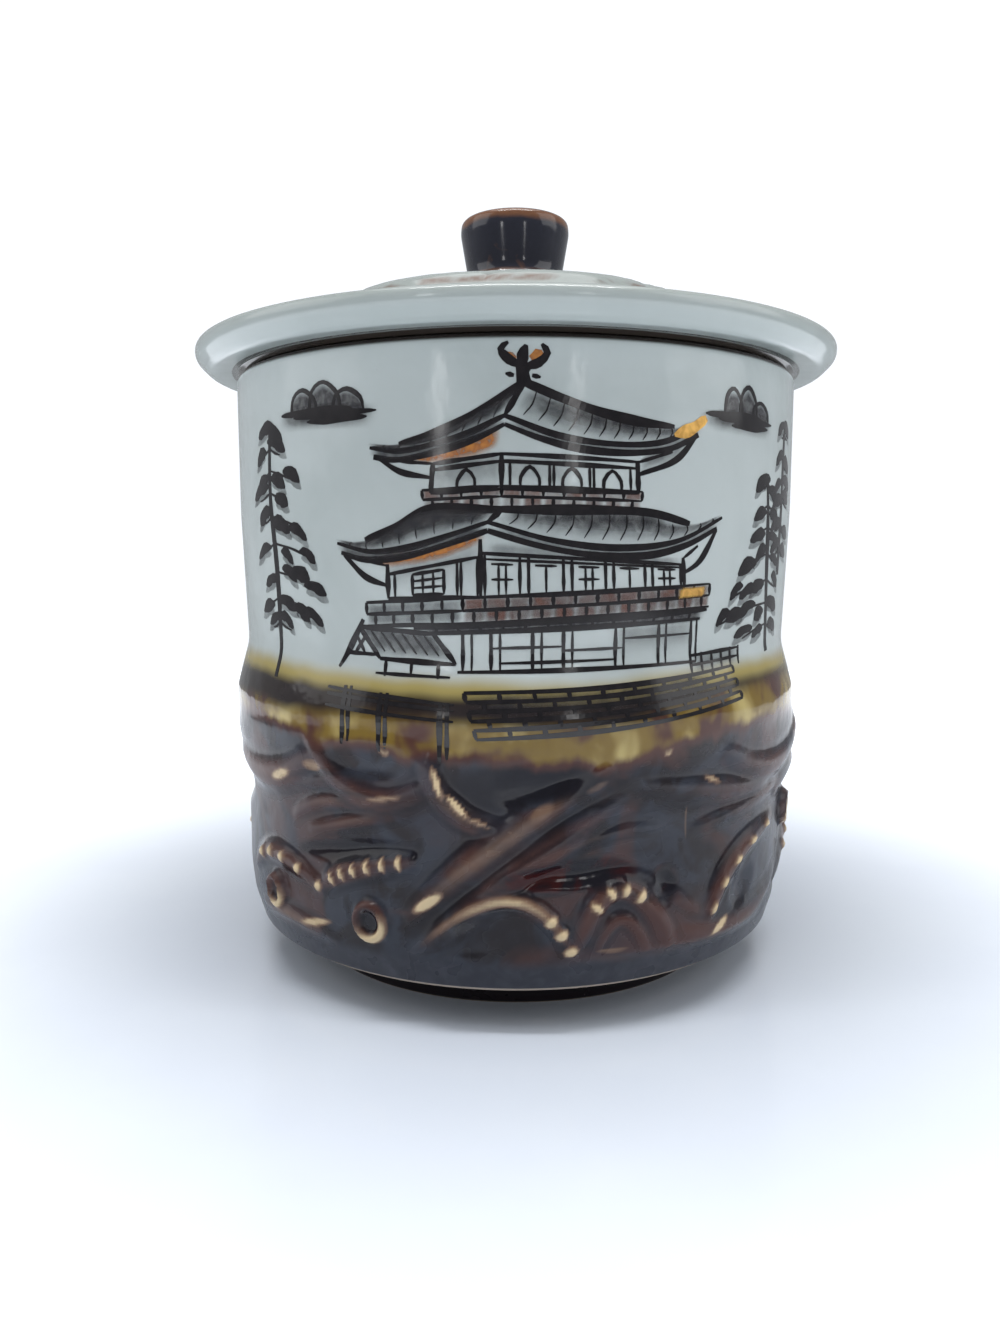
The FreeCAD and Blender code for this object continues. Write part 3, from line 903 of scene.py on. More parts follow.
@dataclass
class Cup:
    """The cup: body, relief and foot ring, in millimetres."""

    height: float = 77.9
    rim_radius: float = 38.1
    wall: float = 3.0
    floor: float = 8.6
    columns: int = 450
    front_share: float = 0.35

    def __post_init__(self) -> None:
        """Works out the wall's outline and the relief that lies on it."""
        self.relief = Relief(self.rim_radius)
        wall = Outline(self._wall_corners()).points()
        self.wall_heights = np.array([z for _, z in wall])
        self.wall_radii = np.array([r for r, _ in wall])

    def _wall_corners(self) -> tuple[Corner, ...]:
        """Lays out the outside of the wall.

        Returns:
            Its corners, from the trimmed edge to the rim.
        """
        rim = self.rim_radius
        return (
            Corner(rim - 2.6, 4.7),
            Corner(rim - 1.55, 5.4, 0.4, 0.4),
            Corner(rim - 0.42, 9.2, 6.0, 0.45),
            Corner(rim + 0.02, 13.0, 20.0, 0.42),
            Corner(rim - 0.27, 24.6, 18.0, 0.42),
            Corner(rim + 1.07, 31.8, 6.0, 0.42),
            Corner(rim + 1.05, 36.9, 4.5, 0.6),
            Corner(rim - 0.63, 42.9, 7.0, 0.8),
            Corner(rim, 60.0, 60.0, 1.4),
            Corner(rim, self.height, 0.0, 1.4),
        )

    def _corners(self) -> tuple[Corner, ...]:
        """Lays out the whole section.

        Returns:
            Its corners, from under the foot round to the inside floor.
        """
        inner, outer = 25.7, 28.9
        mouth = self.rim_radius - self.wall
        wall = self._wall_corners()
        return (
            Corner(0.0, 3.2),
            Corner(inner, 3.2, 0.8),
            Corner(inner, 0.0, 0.5, 1.0),
            Corner(outer, 0.0, 0.5, 1.0),
            Corner(outer + 1.0, 4.7, 0.5, 0.8),
            Corner(wall[0].radius, wall[0].height, 0.15, 1.5),
            *wall[1:-1],
            Corner(self.rim_radius, self.height, 1.2, 1.4),
            Corner(mouth, self.height, 1.2, 0.8),
            Corner(mouth, self.floor, 9.0, 4.0),
            Corner(0.0, self.floor, 0.0, 3.0),
        )

    def wall_radius(self, height: np.ndarray) -> np.ndarray:
        """Outside radius of the plain wall."""
        return np.interp(height, self.wall_heights, self.wall_radii)

    def skin(self, across: np.ndarray, height: np.ndarray, lift: float) -> np.ndarray:
        """Points on the glazed surface.

        Args:
            across: distance round the wall from the front.
            height: height above the foot plane.
            lift: distance over the glaze.

        Returns:
            Rows of x, y and z.
        """
        turn = across / self.rim_radius
        rise = self.relief.on_wall(np.degrees(turn), height)["rise"]
        radius = self.wall_radius(height) + rise + lift
        return np.stack((radius * np.sin(turn), -radius * np.cos(turn), height), axis=1)

    def build(self) -> bpy.types.Object:
        """Turns the cup and presses the relief into its lower wall.

        Returns:
            The finished piece.
        """
        piece = turned_piece("cup_body", Outline(self._corners()).points(), self.columns)
        points = read_points(piece)
        radius = np.hypot(points[:, 0], points[:, 1])
        turn = np.arctan2(points[:, 0], -points[:, 1])
        turn = turn - self.front_share * np.sin(turn)
        outside = radius > self.wall_radius(points[:, 2]) - 0.3
        relief = self.relief.on_wall(np.degrees(turn), points[:, 2])
        radius = radius + relief["rise"] * outside
        points[:, 0], points[:, 1] = radius * np.sin(turn), -radius * np.cos(turn)
        write_points(piece, points)
        for name, values in relief.items():
            write_attribute(piece, name, values * outside)
        dress(piece, LandscapeGlaze().material())
        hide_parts("cup")
        return piece


@dataclass
class Lid:
    """The lid: domed plate, centring ring, lobed mound and knob, in millimetres."""

    seat: float = 77.9
    radius: float = 43.28
    edge_height: float = 81.5
    crown: float = 90.1
    bow: float = 0.25
    mouth: float = 35.1
    columns: int = 384
    mound_radius: float = 28.0
    mound_slope: float = 3.0
    mound_wave: float = 2.0
    mound_lobes: int = 7
    mound_height: float = 2.1
    knob_foot: float = 8.0

    def top(self, radius: float) -> float:
        """Height of the bowed top."""
        share = radius / self.radius
        return self.crown - (self.crown - self.edge_height) * share + 4.0 * self.bow * share * (1.0 - share)

    def _corners(self) -> tuple[Corner, ...]:
        """Lays out the section.

        Returns:
            Its corners, from the hollow under the dome to the middle of the knob.
        """
        ring, inner = self.mouth - 0.7, self.mouth - 3.5
        low = self.seat - 4.5
        dome = [Corner(r, self.top(r), 8.0, 0.6) for r in (39.0, 34.0, 28.0, 22.0, 16.0)]
        return (
            Corner(0.0, self.seat + 6.5),
            Corner(12.0, self.seat + 6.5, 5.0, 2.0),
            Corner(inner, self.seat + 1.8, 1.2, 3.0),
            Corner(inner, low, 0.8, 1.5),
            Corner(ring, low, 0.8, 1.0),
            Corner(ring, self.seat, 0.4, 1.5),
            Corner(self.mouth + 2.2, self.seat, 0.3, 1.0),
            Corner(self.mouth + 2.8, self.seat + 0.5, 0.4, 0.4),
            Corner(self.radius - 1.7, self.seat + 0.3, 1.8, 0.8),
            Corner(self.radius, self.seat + 2.0, 1.4, 0.5),
            Corner(self.radius, self.edge_height - 0.1, 1.3, 0.5),
            *dome,
            Corner(10.6, self.top(10.6), 1.6, 0.6),
            Corner(6.5, self.crown + 2.5, 2.2, 0.5),
            Corner(7.5, self.crown + 8.3, 3.0, 0.6),
            Corner(7.35, self.crown + 10.1, 1.5, 0.5),
            Corner(4.6, self.crown + 10.05, 1.6, 0.5),
            Corner(0.0, self.crown + 9.4, 0.0, 0.7),
        )

    def build(self) -> bpy.types.Object:
        """Turns the lid and raises the mound round the knob.

        Returns:
            The finished piece.
        """
        piece = turned_piece("lid_body", Outline(self._corners()).points(), self.columns)
        points = read_points(piece)
        radius = np.hypot(points[:, 0], points[:, 1])
        turn = np.arctan2(points[:, 0], -points[:, 1])
        lobe = np.abs(np.sin(0.5 * self.mound_lobes * turn + 0.6)) ** 0.7
        edge = self.mound_radius - self.mound_wave * (1.0 - lobe)
        top = points[:, 2] > np.array([self.top(r) for r in radius]) - 0.4
        inside = smooth_share((edge - radius) / self.mound_slope)
        on_top = top & (radius > self.knob_foot)
        beside_knob = smooth_share((radius - self.knob_foot) / 2.4)
        points[:, 2] += self.mound_height * inside * on_top * beside_knob
        write_points(piece, points)
        line = np.clip(1.0 - np.abs(edge - 0.55 * self.mound_slope - radius) / 1.3, 0.0, 1.0)
        write_attribute(piece, "mound_edge", line * on_top)
        dress(piece, LidGlaze().material())
        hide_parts("lid")
        return piece


class Paint(enum.Enum):
    """Paints of the brush work, in the order in which they lie on the glaze."""

    GREY = 1
    ROSE = 2
    RUST = 3
    INK = 4
    GOLD = 5

    @property
    def lift(self) -> float:
        """Height of the paint's surface over the glaze, in millimetres."""
        return 0.012 * self.value


@dataclass(frozen=True)
class PaintFinish:
    """A fired paint, through which the glaze shows where it is brushed thinly."""

    name: str
    colour: Colour
    pooled: Colour
    cover: float = 1.0
    streak: float = 0.5
    metallic: float = 0.0
    roughness: float = 0.14

    def material(self) -> bpy.types.Material:
        """Makes the paint's finish, see-through where it may be thin.

        Returns:
            The material.
        """
        board = Board(self.name)
        fine = board.noise(board.place(), 900.0, 3.0, 0.6)
        board.set(Base_Color=board.blend(fine.rise(0.3, 0.7), self.colour, self.pooled))
        board.set(Metallic=self.metallic, Roughness=self.roughness, IOR=1.5)
        if self.cover < 1.0:
            loose = 1.0 - self.streak * fine.rise(0.35, 0.75)
            board.set(Alpha=board.attribute("laid") * loose * self.cover)
        return board.material


FINISHES = {
    Paint.GREY: PaintFinish("grey_wash", (0.040, 0.040, 0.046), (0.075, 0.070, 0.070), 0.95, 0.35),
    Paint.ROSE: PaintFinish("rose_wash", (0.20, 0.085, 0.060), (0.13, 0.065, 0.055), 0.85, 0.4),
    Paint.RUST: PaintFinish("rust_wash", (0.48, 0.19, 0.042), (0.34, 0.115, 0.032), 0.95, 0.4),
    Paint.INK: PaintFinish("ink", (0.0055, 0.0045, 0.0060), (0.0130, 0.0105, 0.0120)),
    Paint.GOLD: PaintFinish("gold_leaf", (0.90, 0.55, 0.16), (0.75, 0.40, 0.10), 0.98, 0.3, 0.85, 0.28),
}


def smooth_path(path: tuple[Point, ...], pitch: float = 0.7) -> np.ndarray:
    """Draws a smooth curve through a path's points.

    Args:
        path: the points.
        pitch: the largest distance between the new points.

    Returns:
        Rows of distance from the front and height.
    """
    rows = np.array(path, float)
    if len(rows) == 2:
        count = max(2, math.ceil(math.dist(*path) / pitch) + 1)
        return rows[0] + np.linspace(0.0, 1.0, count)[:, None] * (rows[1] - rows[0])
    held = np.vstack((2 * rows[0] - rows[1], rows, 2 * rows[-1] - rows[-2]))
    pieces = []
    for before, here, there, after in zip(held, held[1:], held[2:], held[3:]):
        count = max(2, math.ceil(float(np.hypot(*(there - here))) / pitch))
        t = (np.arange(count) / count)[:, None]
        bend = 2 * before - 5 * here + 4 * there - after
        twist = 3 * here - before - 3 * there + after
        pieces.append(here + 0.5 * ((there - before) * t + bend * t ** 2 + twist * t ** 3))
    return np.vstack((*pieces, rows[-1:]))


def along(path: tuple[Point, ...], shares: np.ndarray) -> np.ndarray:
    """Finds points along a path.

    Args:
        path: the path's points.
        shares: shares of its length.

    Returns:
        Rows of distance from the front and height.
    """
    rows = smooth_path(path)
    steps = np.concatenate(([0.0], np.cumsum(np.hypot(*np.diff(rows, axis=0).T))))
    return np.stack([np.interp(shares * steps[-1], steps, column) for column in rows.T], axis=1)


@dataclass(frozen=True)
class Stroke:
    """One brush stroke along a path of (distance from the front, height) points.

    Start and end are the stroke's widths at its ends, as shares of its full width.
    """

    path: tuple[Point, ...]
    width: float = 0.40
    start: float = 0.65
    end: float = 0.45
    density: float = 1.0

    def patch(self) -> tuple[np.ndarray, np.ndarray]:
        """Works out the stroke's shape, with its swell and fall.

        Returns:
            Its two edges, and how densely the paint lies.
        """
        middle = smooth_path(self.path)
        ahead = np.gradient(middle, axis=0)
        ahead /= np.hypot(*ahead.T)[:, None]
        share = np.linspace(0.0, 1.0, len(middle))
        swell = np.minimum(1.0, self.start + (1 - self.start) * np.sqrt(share * 3.0))
        fall = np.minimum(1.0, self.end + (1 - self.end) * np.sqrt((1 - share) * 3.0))
        waver = 1.0 + 0.14 * np.sin(9.0 * share + 3.7 * middle[0, 0] + 1.9 * middle[0, 1])
        reach = (0.5 * BRUSH * self.width * swell * fall * waver)[:, None]
        across = np.stack((-ahead[:, 1], ahead[:, 0]), axis=1)
        edges = np.stack((middle - across * reach, middle + across * reach))
        return edges, np.full(edges.shape[:2], self.density)


@dataclass(frozen=True)
class Panel:
    """A field of the picture between a top and a foot line, in which marks are placed by shares."""

    top: tuple[Point, ...]
    foot: tuple[Point, ...]

    def places(self, across: np.ndarray, down: np.ndarray) -> np.ndarray:
        """Points at shares across and down the field, one for each pair."""
        top, foot = along(self.top, across), along(self.foot, across)
        return top + (foot - top) * down[:, None]

    def stroke(self, marks: tuple[Point, ...], **brush: float) -> Stroke:
        """A stroke through points given as (across, down) shares."""
        shares = np.array(marks, float)
        return Stroke(tuple(map(tuple, self.places(shares[:, 0], shares[:, 1]).tolist())), **brush)

    def level(self, down: float, start: float = 0.0, end: float = 1.0, **brush: float) -> Stroke:
        """A stroke across the field, which follows its bend."""
        shares = np.linspace(start, end, max(2, len(self.top), len(self.foot)))
        return self.stroke(tuple((share, down) for share in shares), **brush)

    def upright(self, across: float, top: float = 0.0, foot: float = 1.0, **brush: float) -> Stroke:
        """A stroke down the field."""
        return self.stroke(((across, top), (across, foot)), **brush)

    def inner(self, left: float, right: float, top: float, foot: float) -> "Panel":
        """Cuts out a smaller field.

        Args:
            left: share across at its left side.
            right: share across at its right side.
            top: share down at its top.
            foot: share down at its foot.

        Returns:
            The field, which follows the bends of this one.
        """
        ends = np.linspace(left, right, max(2, len(self.top), len(self.foot)))
        lines = [self.places(ends, np.full(len(ends), down)).tolist() for down in (top, foot)]
        return Panel(*(tuple(map(tuple, line)) for line in lines))

    def border(self, **brush: float) -> list[Stroke]:
        """Strokes round the field."""
        sides = [self.level(0.0, **brush), self.level(1.0, **brush)]
        return sides + [self.upright(0.0, **brush), self.upright(1.0, **brush)]

    def lattice(self, columns: int, rows: int, **brush: float) -> list[Stroke]:
        """Strokes that divide the field into equal cells."""
        marks = [self.upright(column / columns, **brush) for column in range(1, columns)]
        return marks + [self.level(row / rows, **brush) for row in range(1, rows)]

    def courses(self, rows: int, columns: int, **brush: float) -> list[Stroke]:
        """Draws bricks, whose joints are staggered from row to row.

        Args:
            rows: how many rows there are.
            columns: how many bricks are in a row.
            brush: the strokes' width and ends.

        Returns:
            The strokes.
        """
        marks = [self.level(row / rows, **brush) for row in range(rows + 1)]
        for row in range(rows):
            shift = 0.5 * (row % 2)
            places = [column + shift for column in range(columns + 1) if column + shift <= columns]
            joints = [place / columns for place in places]
            marks += [self.upright(joint, row / rows, (row + 1) / rows, **brush) for joint in joints]
        return marks

    def arch(self, across: float, half: float, top: float, foot: float, **brush: float) -> list[Stroke]:
        """Draws a round-headed window.

        Args:
            across: share across of its middle.
            half: half its width as a share.
            top: share down at its head.
            foot: share down at its sill.
            brush: the strokes' width and ends.

        Returns:
            The strokes.
        """
        head = ((-1, foot), (-1, 0.5 * (top + foot)), (0, top), (1, 0.5 * (top + foot)), (1, foot))
        marks = tuple((across + half * side, down) for side, down in head)
        return [self.stroke(marks, **brush), self.level(foot, across - half, across + half, **brush)]


@dataclass(frozen=True)
class Wash:
    """A brushed patch of thin paint over a field, softer towards its edges."""

    panel: Panel
    density: float = 0.6
    soft_sides: float = 0.15
    soft_top: float = 0.2
    soft_foot: float = 0.4

    def patch(self) -> tuple[np.ndarray, np.ndarray]:
        """Spreads the wash over its field.

        Returns:
            The wash's points from its foot up, and how densely the paint lies.
        """
        top, foot = self.panel.top, self.panel.foot
        width = math.dist(top[0], top[-1])
        height = math.dist(top[0], foot[0]) + math.dist(top[-1], foot[-1])
        columns = max(6, math.ceil(width / 0.6))
        rows = max(5, math.ceil(height / 1.0))
        across, down = np.meshgrid(np.linspace(0, 1, columns), np.linspace(1, 0, rows))
        places = self.panel.places(across.ravel(), down.ravel()).reshape(rows, columns, 2)
        sides = smooth_share(np.minimum(across, 1 - across) / max(self.soft_sides, 1e-3))
        upper = smooth_share(down / max(self.soft_top, 1e-3))
        lower = smooth_share((1 - down) / max(self.soft_foot, 1e-3))
        return places, self.density * sides * (upper * lower)


@dataclass
class Sheet:
    """Marks of one part of the picture, sorted by paint."""

    name: str
    marks: dict[Paint, list] = field(default_factory=dict)

    def draw(self, paint: Paint, marks: list) -> None:
        """Adds strokes or washes in one paint."""
        self.marks.setdefault(paint, []).extend(marks)

    def lay(self, cup: Cup, materials: dict[Paint, bpy.types.Material]) -> None:
        """Lays the marks on the cup, one piece for each paint."""
        for paint, marks in self.marks.items():
            self._piece(paint, [mark.patch() for mark in marks], cup, materials[paint])

    def _piece(self, paint: Paint, patches: list, cup: Cup, material: bpy.types.Material) -> None:
        """Makes the piece of one paint, a thin coat whose back lies in the glaze.

        Args:
            paint: the paint.
            patches: points and densities of each mark.
            cup: the cup that it is laid on.
            material: the paint's finish.
        """
        deselect()
        piece = None
        for places, _ in patches:
            rows, columns = places.shape[:2]
            bpy.ops.mesh.primitive_grid_add(x_subdivisions=columns - 1, y_subdivisions=rows - 1, size=MM)
            if piece is None:
                piece = bpy.context.object
                bpy.ops.object.mode_set(mode="EDIT")
        bpy.ops.object.mode_set(mode="OBJECT")
        piece.name = f"{self.name}_{paint.name.lower()}"
        flat = np.concatenate([places.reshape(-1, 2) for places, _ in patches])
        write_points(piece, cup.skin(flat[:, 0], flat[:, 1], paint.lift))
        write_attribute(piece, "laid", np.concatenate([density.ravel() for _, density in patches]))
        coat = piece.modifiers.new("coat", "SOLIDIFY")
        coat.thickness = (paint.lift + 0.04) * MM
        coat.offset = -1.0
        bpy.ops.object.modifier_apply(modifier=coat.name)
        dress(piece, material)


@dataclass(frozen=True)
class Roof:
    """A sweeping roof seen from its left corner: outline, eaves and the corner line between."""

    left: Panel
    right: Panel
    eave: float = 0.9
    ribs: int = 9

    def draw(self, sheet: Sheet) -> None:
        """Draws the roof's surfaces, its eaves and the ribs of its tiles.

        Args:
            sheet: the part of the picture that it belongs to.
        """
        for side, panel in enumerate((self.left, self.right)):
            sheet.draw(Paint.INK, [panel.level(0.0, width=0.70, end=0.8), panel.level(1.0, width=0.46)])
            sheet.draw(Paint.INK, [self._lower(panel, self.eave)])
            under = [(u, z - 0.9) for u, z in panel.foot]
            sheet.draw(Paint.GREY, [Wash(Panel(panel.foot, tuple(under)), 0.45, 0.1, 0.1, 0.2)])
            ribs = self.ribs + 5 * side
            sheet.draw(Paint.INK, [
                panel.stroke(((i / ribs, 0.10), (i / ribs + 0.012, 0.45), (i / ribs, 0.80)), width=0.11)
                for i in range(1, ribs)
            ])
            sheet.draw(Paint.GREY, [Wash(panel, 0.80, 0.10, 0.10, 0.75)])
            sheet.draw(Paint.GREY, [Wash(panel.inner(0.15, 0.75, 0.0, 0.55), 0.65, 0.3, 0.1, 0.6)])
        sheet.draw(Paint.INK, [self.left.upright(0.0, width=0.45)])

    def _lower(self, panel: Panel, drop: float) -> Stroke:
        """Draws the lower edge of the eaves.

        Args:
            panel: the side of the roof.
            drop: how far it lies under the roof's edge.

        Returns:
            The stroke.
        """
        rows = along(panel.foot, np.linspace(0.0, 0.97, 7))
        rows[:, 1] -= drop
        return Stroke(tuple(map(tuple, rows.tolist())), width=0.50, end=0.7)


@dataclass(frozen=True)
class Pavilion:
    """A tiered lakeside pavilion, drawn anew in distances from the front and heights."""

    upper_roof: Roof = Roof(
        Panel(
            ((0.5, 72.6), (-3.0, 70.4), (-8.0, 67.8), (-13.0, 66.5), (-17.0, 66.7)),
            ((-1.6, 69.2), (-5.0, 67.6), (-10.0, 66.2), (-14.0, 65.7), (-16.8, 66.2)),
        ),
        Panel(
            ((0.5, 72.6), (6.5, 70.3), (12.0, 69.0), (18.0, 68.5), (21.9, 69.4)),
            ((-1.6, 69.2), (4.0, 67.2), (10.0, 66.4), (16.6, 66.9), (21.6, 69.0)),
        ),
    )
    lower_roof: Roof = Roof(
        Panel(
            ((-1.9, 59.4), (-10.4, 59.4), (-14.5, 57.2), (-18.6, 56.1), (-21.8, 56.4)),
            ((-3.4, 58.1), (-8.0, 56.6), (-13.0, 55.3), (-18.0, 55.0), (-21.6, 55.9)),
        ),
        Panel(
            ((-1.9, 59.4), (13.4, 59.3), (17.0, 58.3), (21.0, 58.1), (25.4, 59.3)),
            ((-3.4, 58.1), (3.0, 56.3), (10.0, 55.4), (17.5, 55.9), (25.1, 58.8)),
        ),
    )
    upper_left: Panel = Panel(((-9.3, 64.4), (-1.9, 65.4)), ((-9.6, 61.2), (-1.9, 61.6)))
    upper_right: Panel = Panel(((-1.9, 65.4), (13.0, 64.7)), ((-1.9, 61.6), (13.2, 61.2)))
    balcony_left: Panel = Panel(((-10.6, 61.5), (-1.9, 61.9)), ((-10.4, 59.5), (-1.9, 59.7)))
    balcony_right: Panel = Panel(((-1.9, 61.9), (13.7, 61.4)), ((-1.9, 59.7), (13.5, 59.4)))
    walls_left: Panel = Panel(((-14.9, 53.6), (-4.2, 56.3)), ((-14.9, 49.8), (-4.2, 50.1)))
    walls_right: Panel = Panel(((-4.2, 56.3), (19.3, 54.3)), ((-4.2, 50.1), (19.7, 51.0)))
    terrace_left: Panel = Panel(((-17.8, 49.3), (-6.2, 50.0)), ((-17.8, 46.7), (-6.2, 47.2)))
    terrace_right: Panel = Panel(((-6.2, 50.0), (23.6, 51.3)), ((-6.2, 47.2), (23.6, 48.7)))
    shade: Panel = Panel(((-12.0, 46.9), (23.4, 48.6)), ((-11.4, 45.7), (22.8, 47.0)))
    ground: Panel = Panel(((-6.8, 46.3), (21.8, 47.2)), ((-6.8, 41.8), (21.8, 42.4)))
    bank: Panel = Panel(
        ((-6.0, 39.7), (10.0, 40.2), (28.0, 41.6)),
        ((-4.5, 34.7), (10.0, 35.6), (28.8, 37.8)),
    )

    def draw(self) -> Sheet:
        """Draws the whole building.

        Returns:
            The sheet of its marks.
        """
        sheet = Sheet("pavilion")
        self.lower_roof.draw(sheet)
        self.upper_roof.draw(sheet)
        self._finial(sheet)
        self._upper_storey(sheet)
        self._walls(sheet)
        self._terrace(sheet)
        self._ground(sheet)
        self._annexe(sheet)
        self._bank(sheet)
        self._pier(sheet)
        return sheet

    def _finial(self, sheet: Sheet) -> None:
        """Draws a jewel on the ridge between two curling flames.

        Args:
            sheet: the building's sheet.
        """
        sheet.draw(Paint.INK, [
            Stroke(((0.5, 72.3), (0.3, 73.6), (0.5, 74.6)), width=1.0, start=1.0, end=0.8),
            Stroke(((0.4, 74.2), (-1.1, 74.9), (-2.0, 76.0), (-1.2, 76.7)), width=0.62, end=0.3),
            Stroke(((0.6, 74.2), (2.0, 74.6), (2.9, 75.6), (2.3, 76.5)), width=0.62, end=0.3),
            Stroke(((0.4, 74.4), (0.3, 75.4), (0.7, 76.4)), width=0.8, end=0.3),
            Stroke(((-0.6, 73.3), (-1.5, 73.5)), width=0.4, end=0.3),
            Stroke(((1.3, 73.3), (2.2, 73.1)), width=0.4, end=0.3),
        ])
        sheet.draw(Paint.RUST, [
            Stroke(((1.2, 74.9), (2.4, 75.7)), width=0.8, density=1.0),
            Stroke(((-0.5, 74.9), (-1.5, 75.6)), width=0.6, density=0.9),
        ])

    def _upper_storey(self, sheet: Sheet) -> None:
        """Draws arched windows over a tiled balcony, and the undersides of the upper eaves.

        Args:
            sheet: the building's sheet.
        """
        left, right = self.upper_left, self.upper_right
        for panel in (left, right):
            sheet.draw(Paint.INK, [panel.level(down, width=0.34) for down in (0.04, 0.24, 1.0)])
        sheet.draw(Paint.INK, [left.upright(0.0), left.upright(1.0), right.upright(1.0)])
        sheet.draw(Paint.INK, left.arch(0.5, 0.12, 0.36, 0.96, width=0.28))
        for across in (0.2, 0.5, 0.8):
            sheet.draw(Paint.INK, right.arch(across, 0.065, 0.36, 0.96, width=0.28))
        posts = (0.06, 0.34, 0.37, 0.63, 0.66, 0.94)
        sheet.draw(Paint.INK, [right.upright(post, 0.24, 1.0, width=0.22) for post in posts])
        sheet.draw(Paint.INK, self.balcony_left.courses(2, 4, width=0.26))
        sheet.draw(Paint.INK, self.balcony_right.courses(2, 7, width=0.26))
        sheet.draw(Paint.ROSE, self._tiles(self.balcony_right, 7) + self._tiles(self.balcony_left, 4))
        sheet.draw(Paint.GREY, [Wash(left, 0.34, 0.1, 0.1, 0.5), Wash(right.inner(0.0, 0.5, 0.0, 0.9), 0.22)])
        under = Panel(((-13.4, 64.9), (-6.0, 66.2), (-2.0, 68.2)), ((-9.4, 64.3), (-5.0, 64.8), (-2.0, 65.9)))
        sheet.draw(Paint.RUST, [Wash(under, 1.0, 0.12, 0.1, 0.5)])
        sheet.draw(Paint.INK, [
            Stroke(((-15.6, 65.0), (-13.0, 63.5), (-9.4, 62.8)), width=0.42),
            Stroke(((20.8, 67.8), (17.8, 64.9), (13.1, 63.2)), width=0.46),
            Stroke(((-13.0, 64.6), (-9.3, 64.3)), width=0.26),
            Stroke(((17.4, 65.8), (13.0, 64.5)), width=0.26),
        ])
        shadow = Panel(((13.2, 65.2), (20.0, 67.3)), ((13.2, 63.4), (17.8, 64.9)))
        sheet.draw(Paint.GREY, [Wash(shadow, 0.5, 0.2, 0.2, 0.4)])
        sheet.draw(Paint.GOLD, [Stroke(((17.6, 67.6), (20.0, 68.4), (22.1, 69.7)), width=0.9, start=0.3)])

    def _tiles(self, panel: Panel, columns: int) -> list[Wash]:
        """Tints the tiles of a balcony's front, some more thickly than others.

        Args:
            panel: the balcony's front.
            columns: how many tiles are in a row.

        Returns:
            A wash for each tile.
        """
        cells = [(row, column) for row in range(2) for column in range(columns)]
        fields = [panel.inner(c / columns, (c + 1) / columns, r / 2, (r + 1) / 2) for r, c in cells]
        return [
            Wash(cell, (0.85, 0.45, 0.65)[(row + 2 * column) % 3], 0.1, 0.1, 0.15)
            for cell, (row, column) in zip(fields, cells)
        ]

    def _walls(self, sheet: Sheet) -> None:
        """Draws the middle storey: a screened window and a row of bays.

        Args:
            sheet: the building's sheet.
        """
        left, right = self.walls_left, self.walls_right
        sheet.draw(Paint.INK, [left.upright(0.0), left.upright(1.0), right.upright(1.0)])
        sheet.draw(Paint.INK, [left.level(0.30, width=0.30), right.level(0.24, width=0.30)])
        sheet.draw(Paint.INK, [right.level(0.34, width=0.2)])
        sheet.draw(Paint.INK, [left.level(1.0, width=0.34), right.level(1.0, width=0.34)])
        window = left.inner(0.28, 0.62, 0.42, 0.92)
        sheet.draw(Paint.INK, window.border(width=0.28) + window.lattice(3, 3, width=0.2))
        posts = (0.08, 0.76, 0.80, 0.97)
        sheet.draw(Paint.INK, [left.upright(post, 0.30, 1.0, width=0.24) for post in posts])
        bays = 5
        for bay in range(bays):
            start, end = bay / bays, (bay + 1) / bays
            sheet.draw(Paint.INK, [right.upright(start + 0.02, 0.24, 1.0, width=0.26)])
            sheet.draw(Paint.INK, [right.upright(end - 0.02, 0.24, 1.0, width=0.26)])
            screen = right.inner(start + 0.05, end - 0.05, 0.42, 0.97)
            if bay % 2 == 0:
                sheet.draw(Paint.INK, screen.lattice(3, 2, width=0.2) + [screen.level(0.0, width=0.2)])
            else:
                sheet.draw(Paint.INK, [screen.upright(0.5, width=0.2), screen.level(0.0, width=0.2)])
        under = Panel(
            ((-18.6, 54.2), (-10.0, 55.4), (-3.6, 57.1)),
            ((-15.0, 53.1), (-9.0, 54.0), (-3.8, 55.9)),
        )
        sheet.draw(Paint.RUST, [Wash(under, 1.0, 0.12, 0.1, 0.5)])
        sheet.draw(Paint.GREY, [Wash(right.inner(0.0, 1.0, 0.0, 0.5), 0.42, 0.1, 0.05, 0.8)])
        sheet.draw(Paint.GREY, [Wash(left.inner(0.0, 1.0, 0.0, 0.9), 0.25, 0.1, 0.05, 0.8)])
        sheet.draw(Paint.INK, [
            Stroke(((-20.6, 54.6), (-17.8, 52.2), (-14.9, 51.2)), width=0.46),
            Stroke(((24.2, 57.4), (21.9, 54.0), (19.6, 52.6)), width=0.46),
            Stroke(((-18.4, 54.2), (-14.9, 53.4)), width=0.26),
            Stroke(((21.4, 55.6), (19.3, 54.2)), width=0.26),
        ])

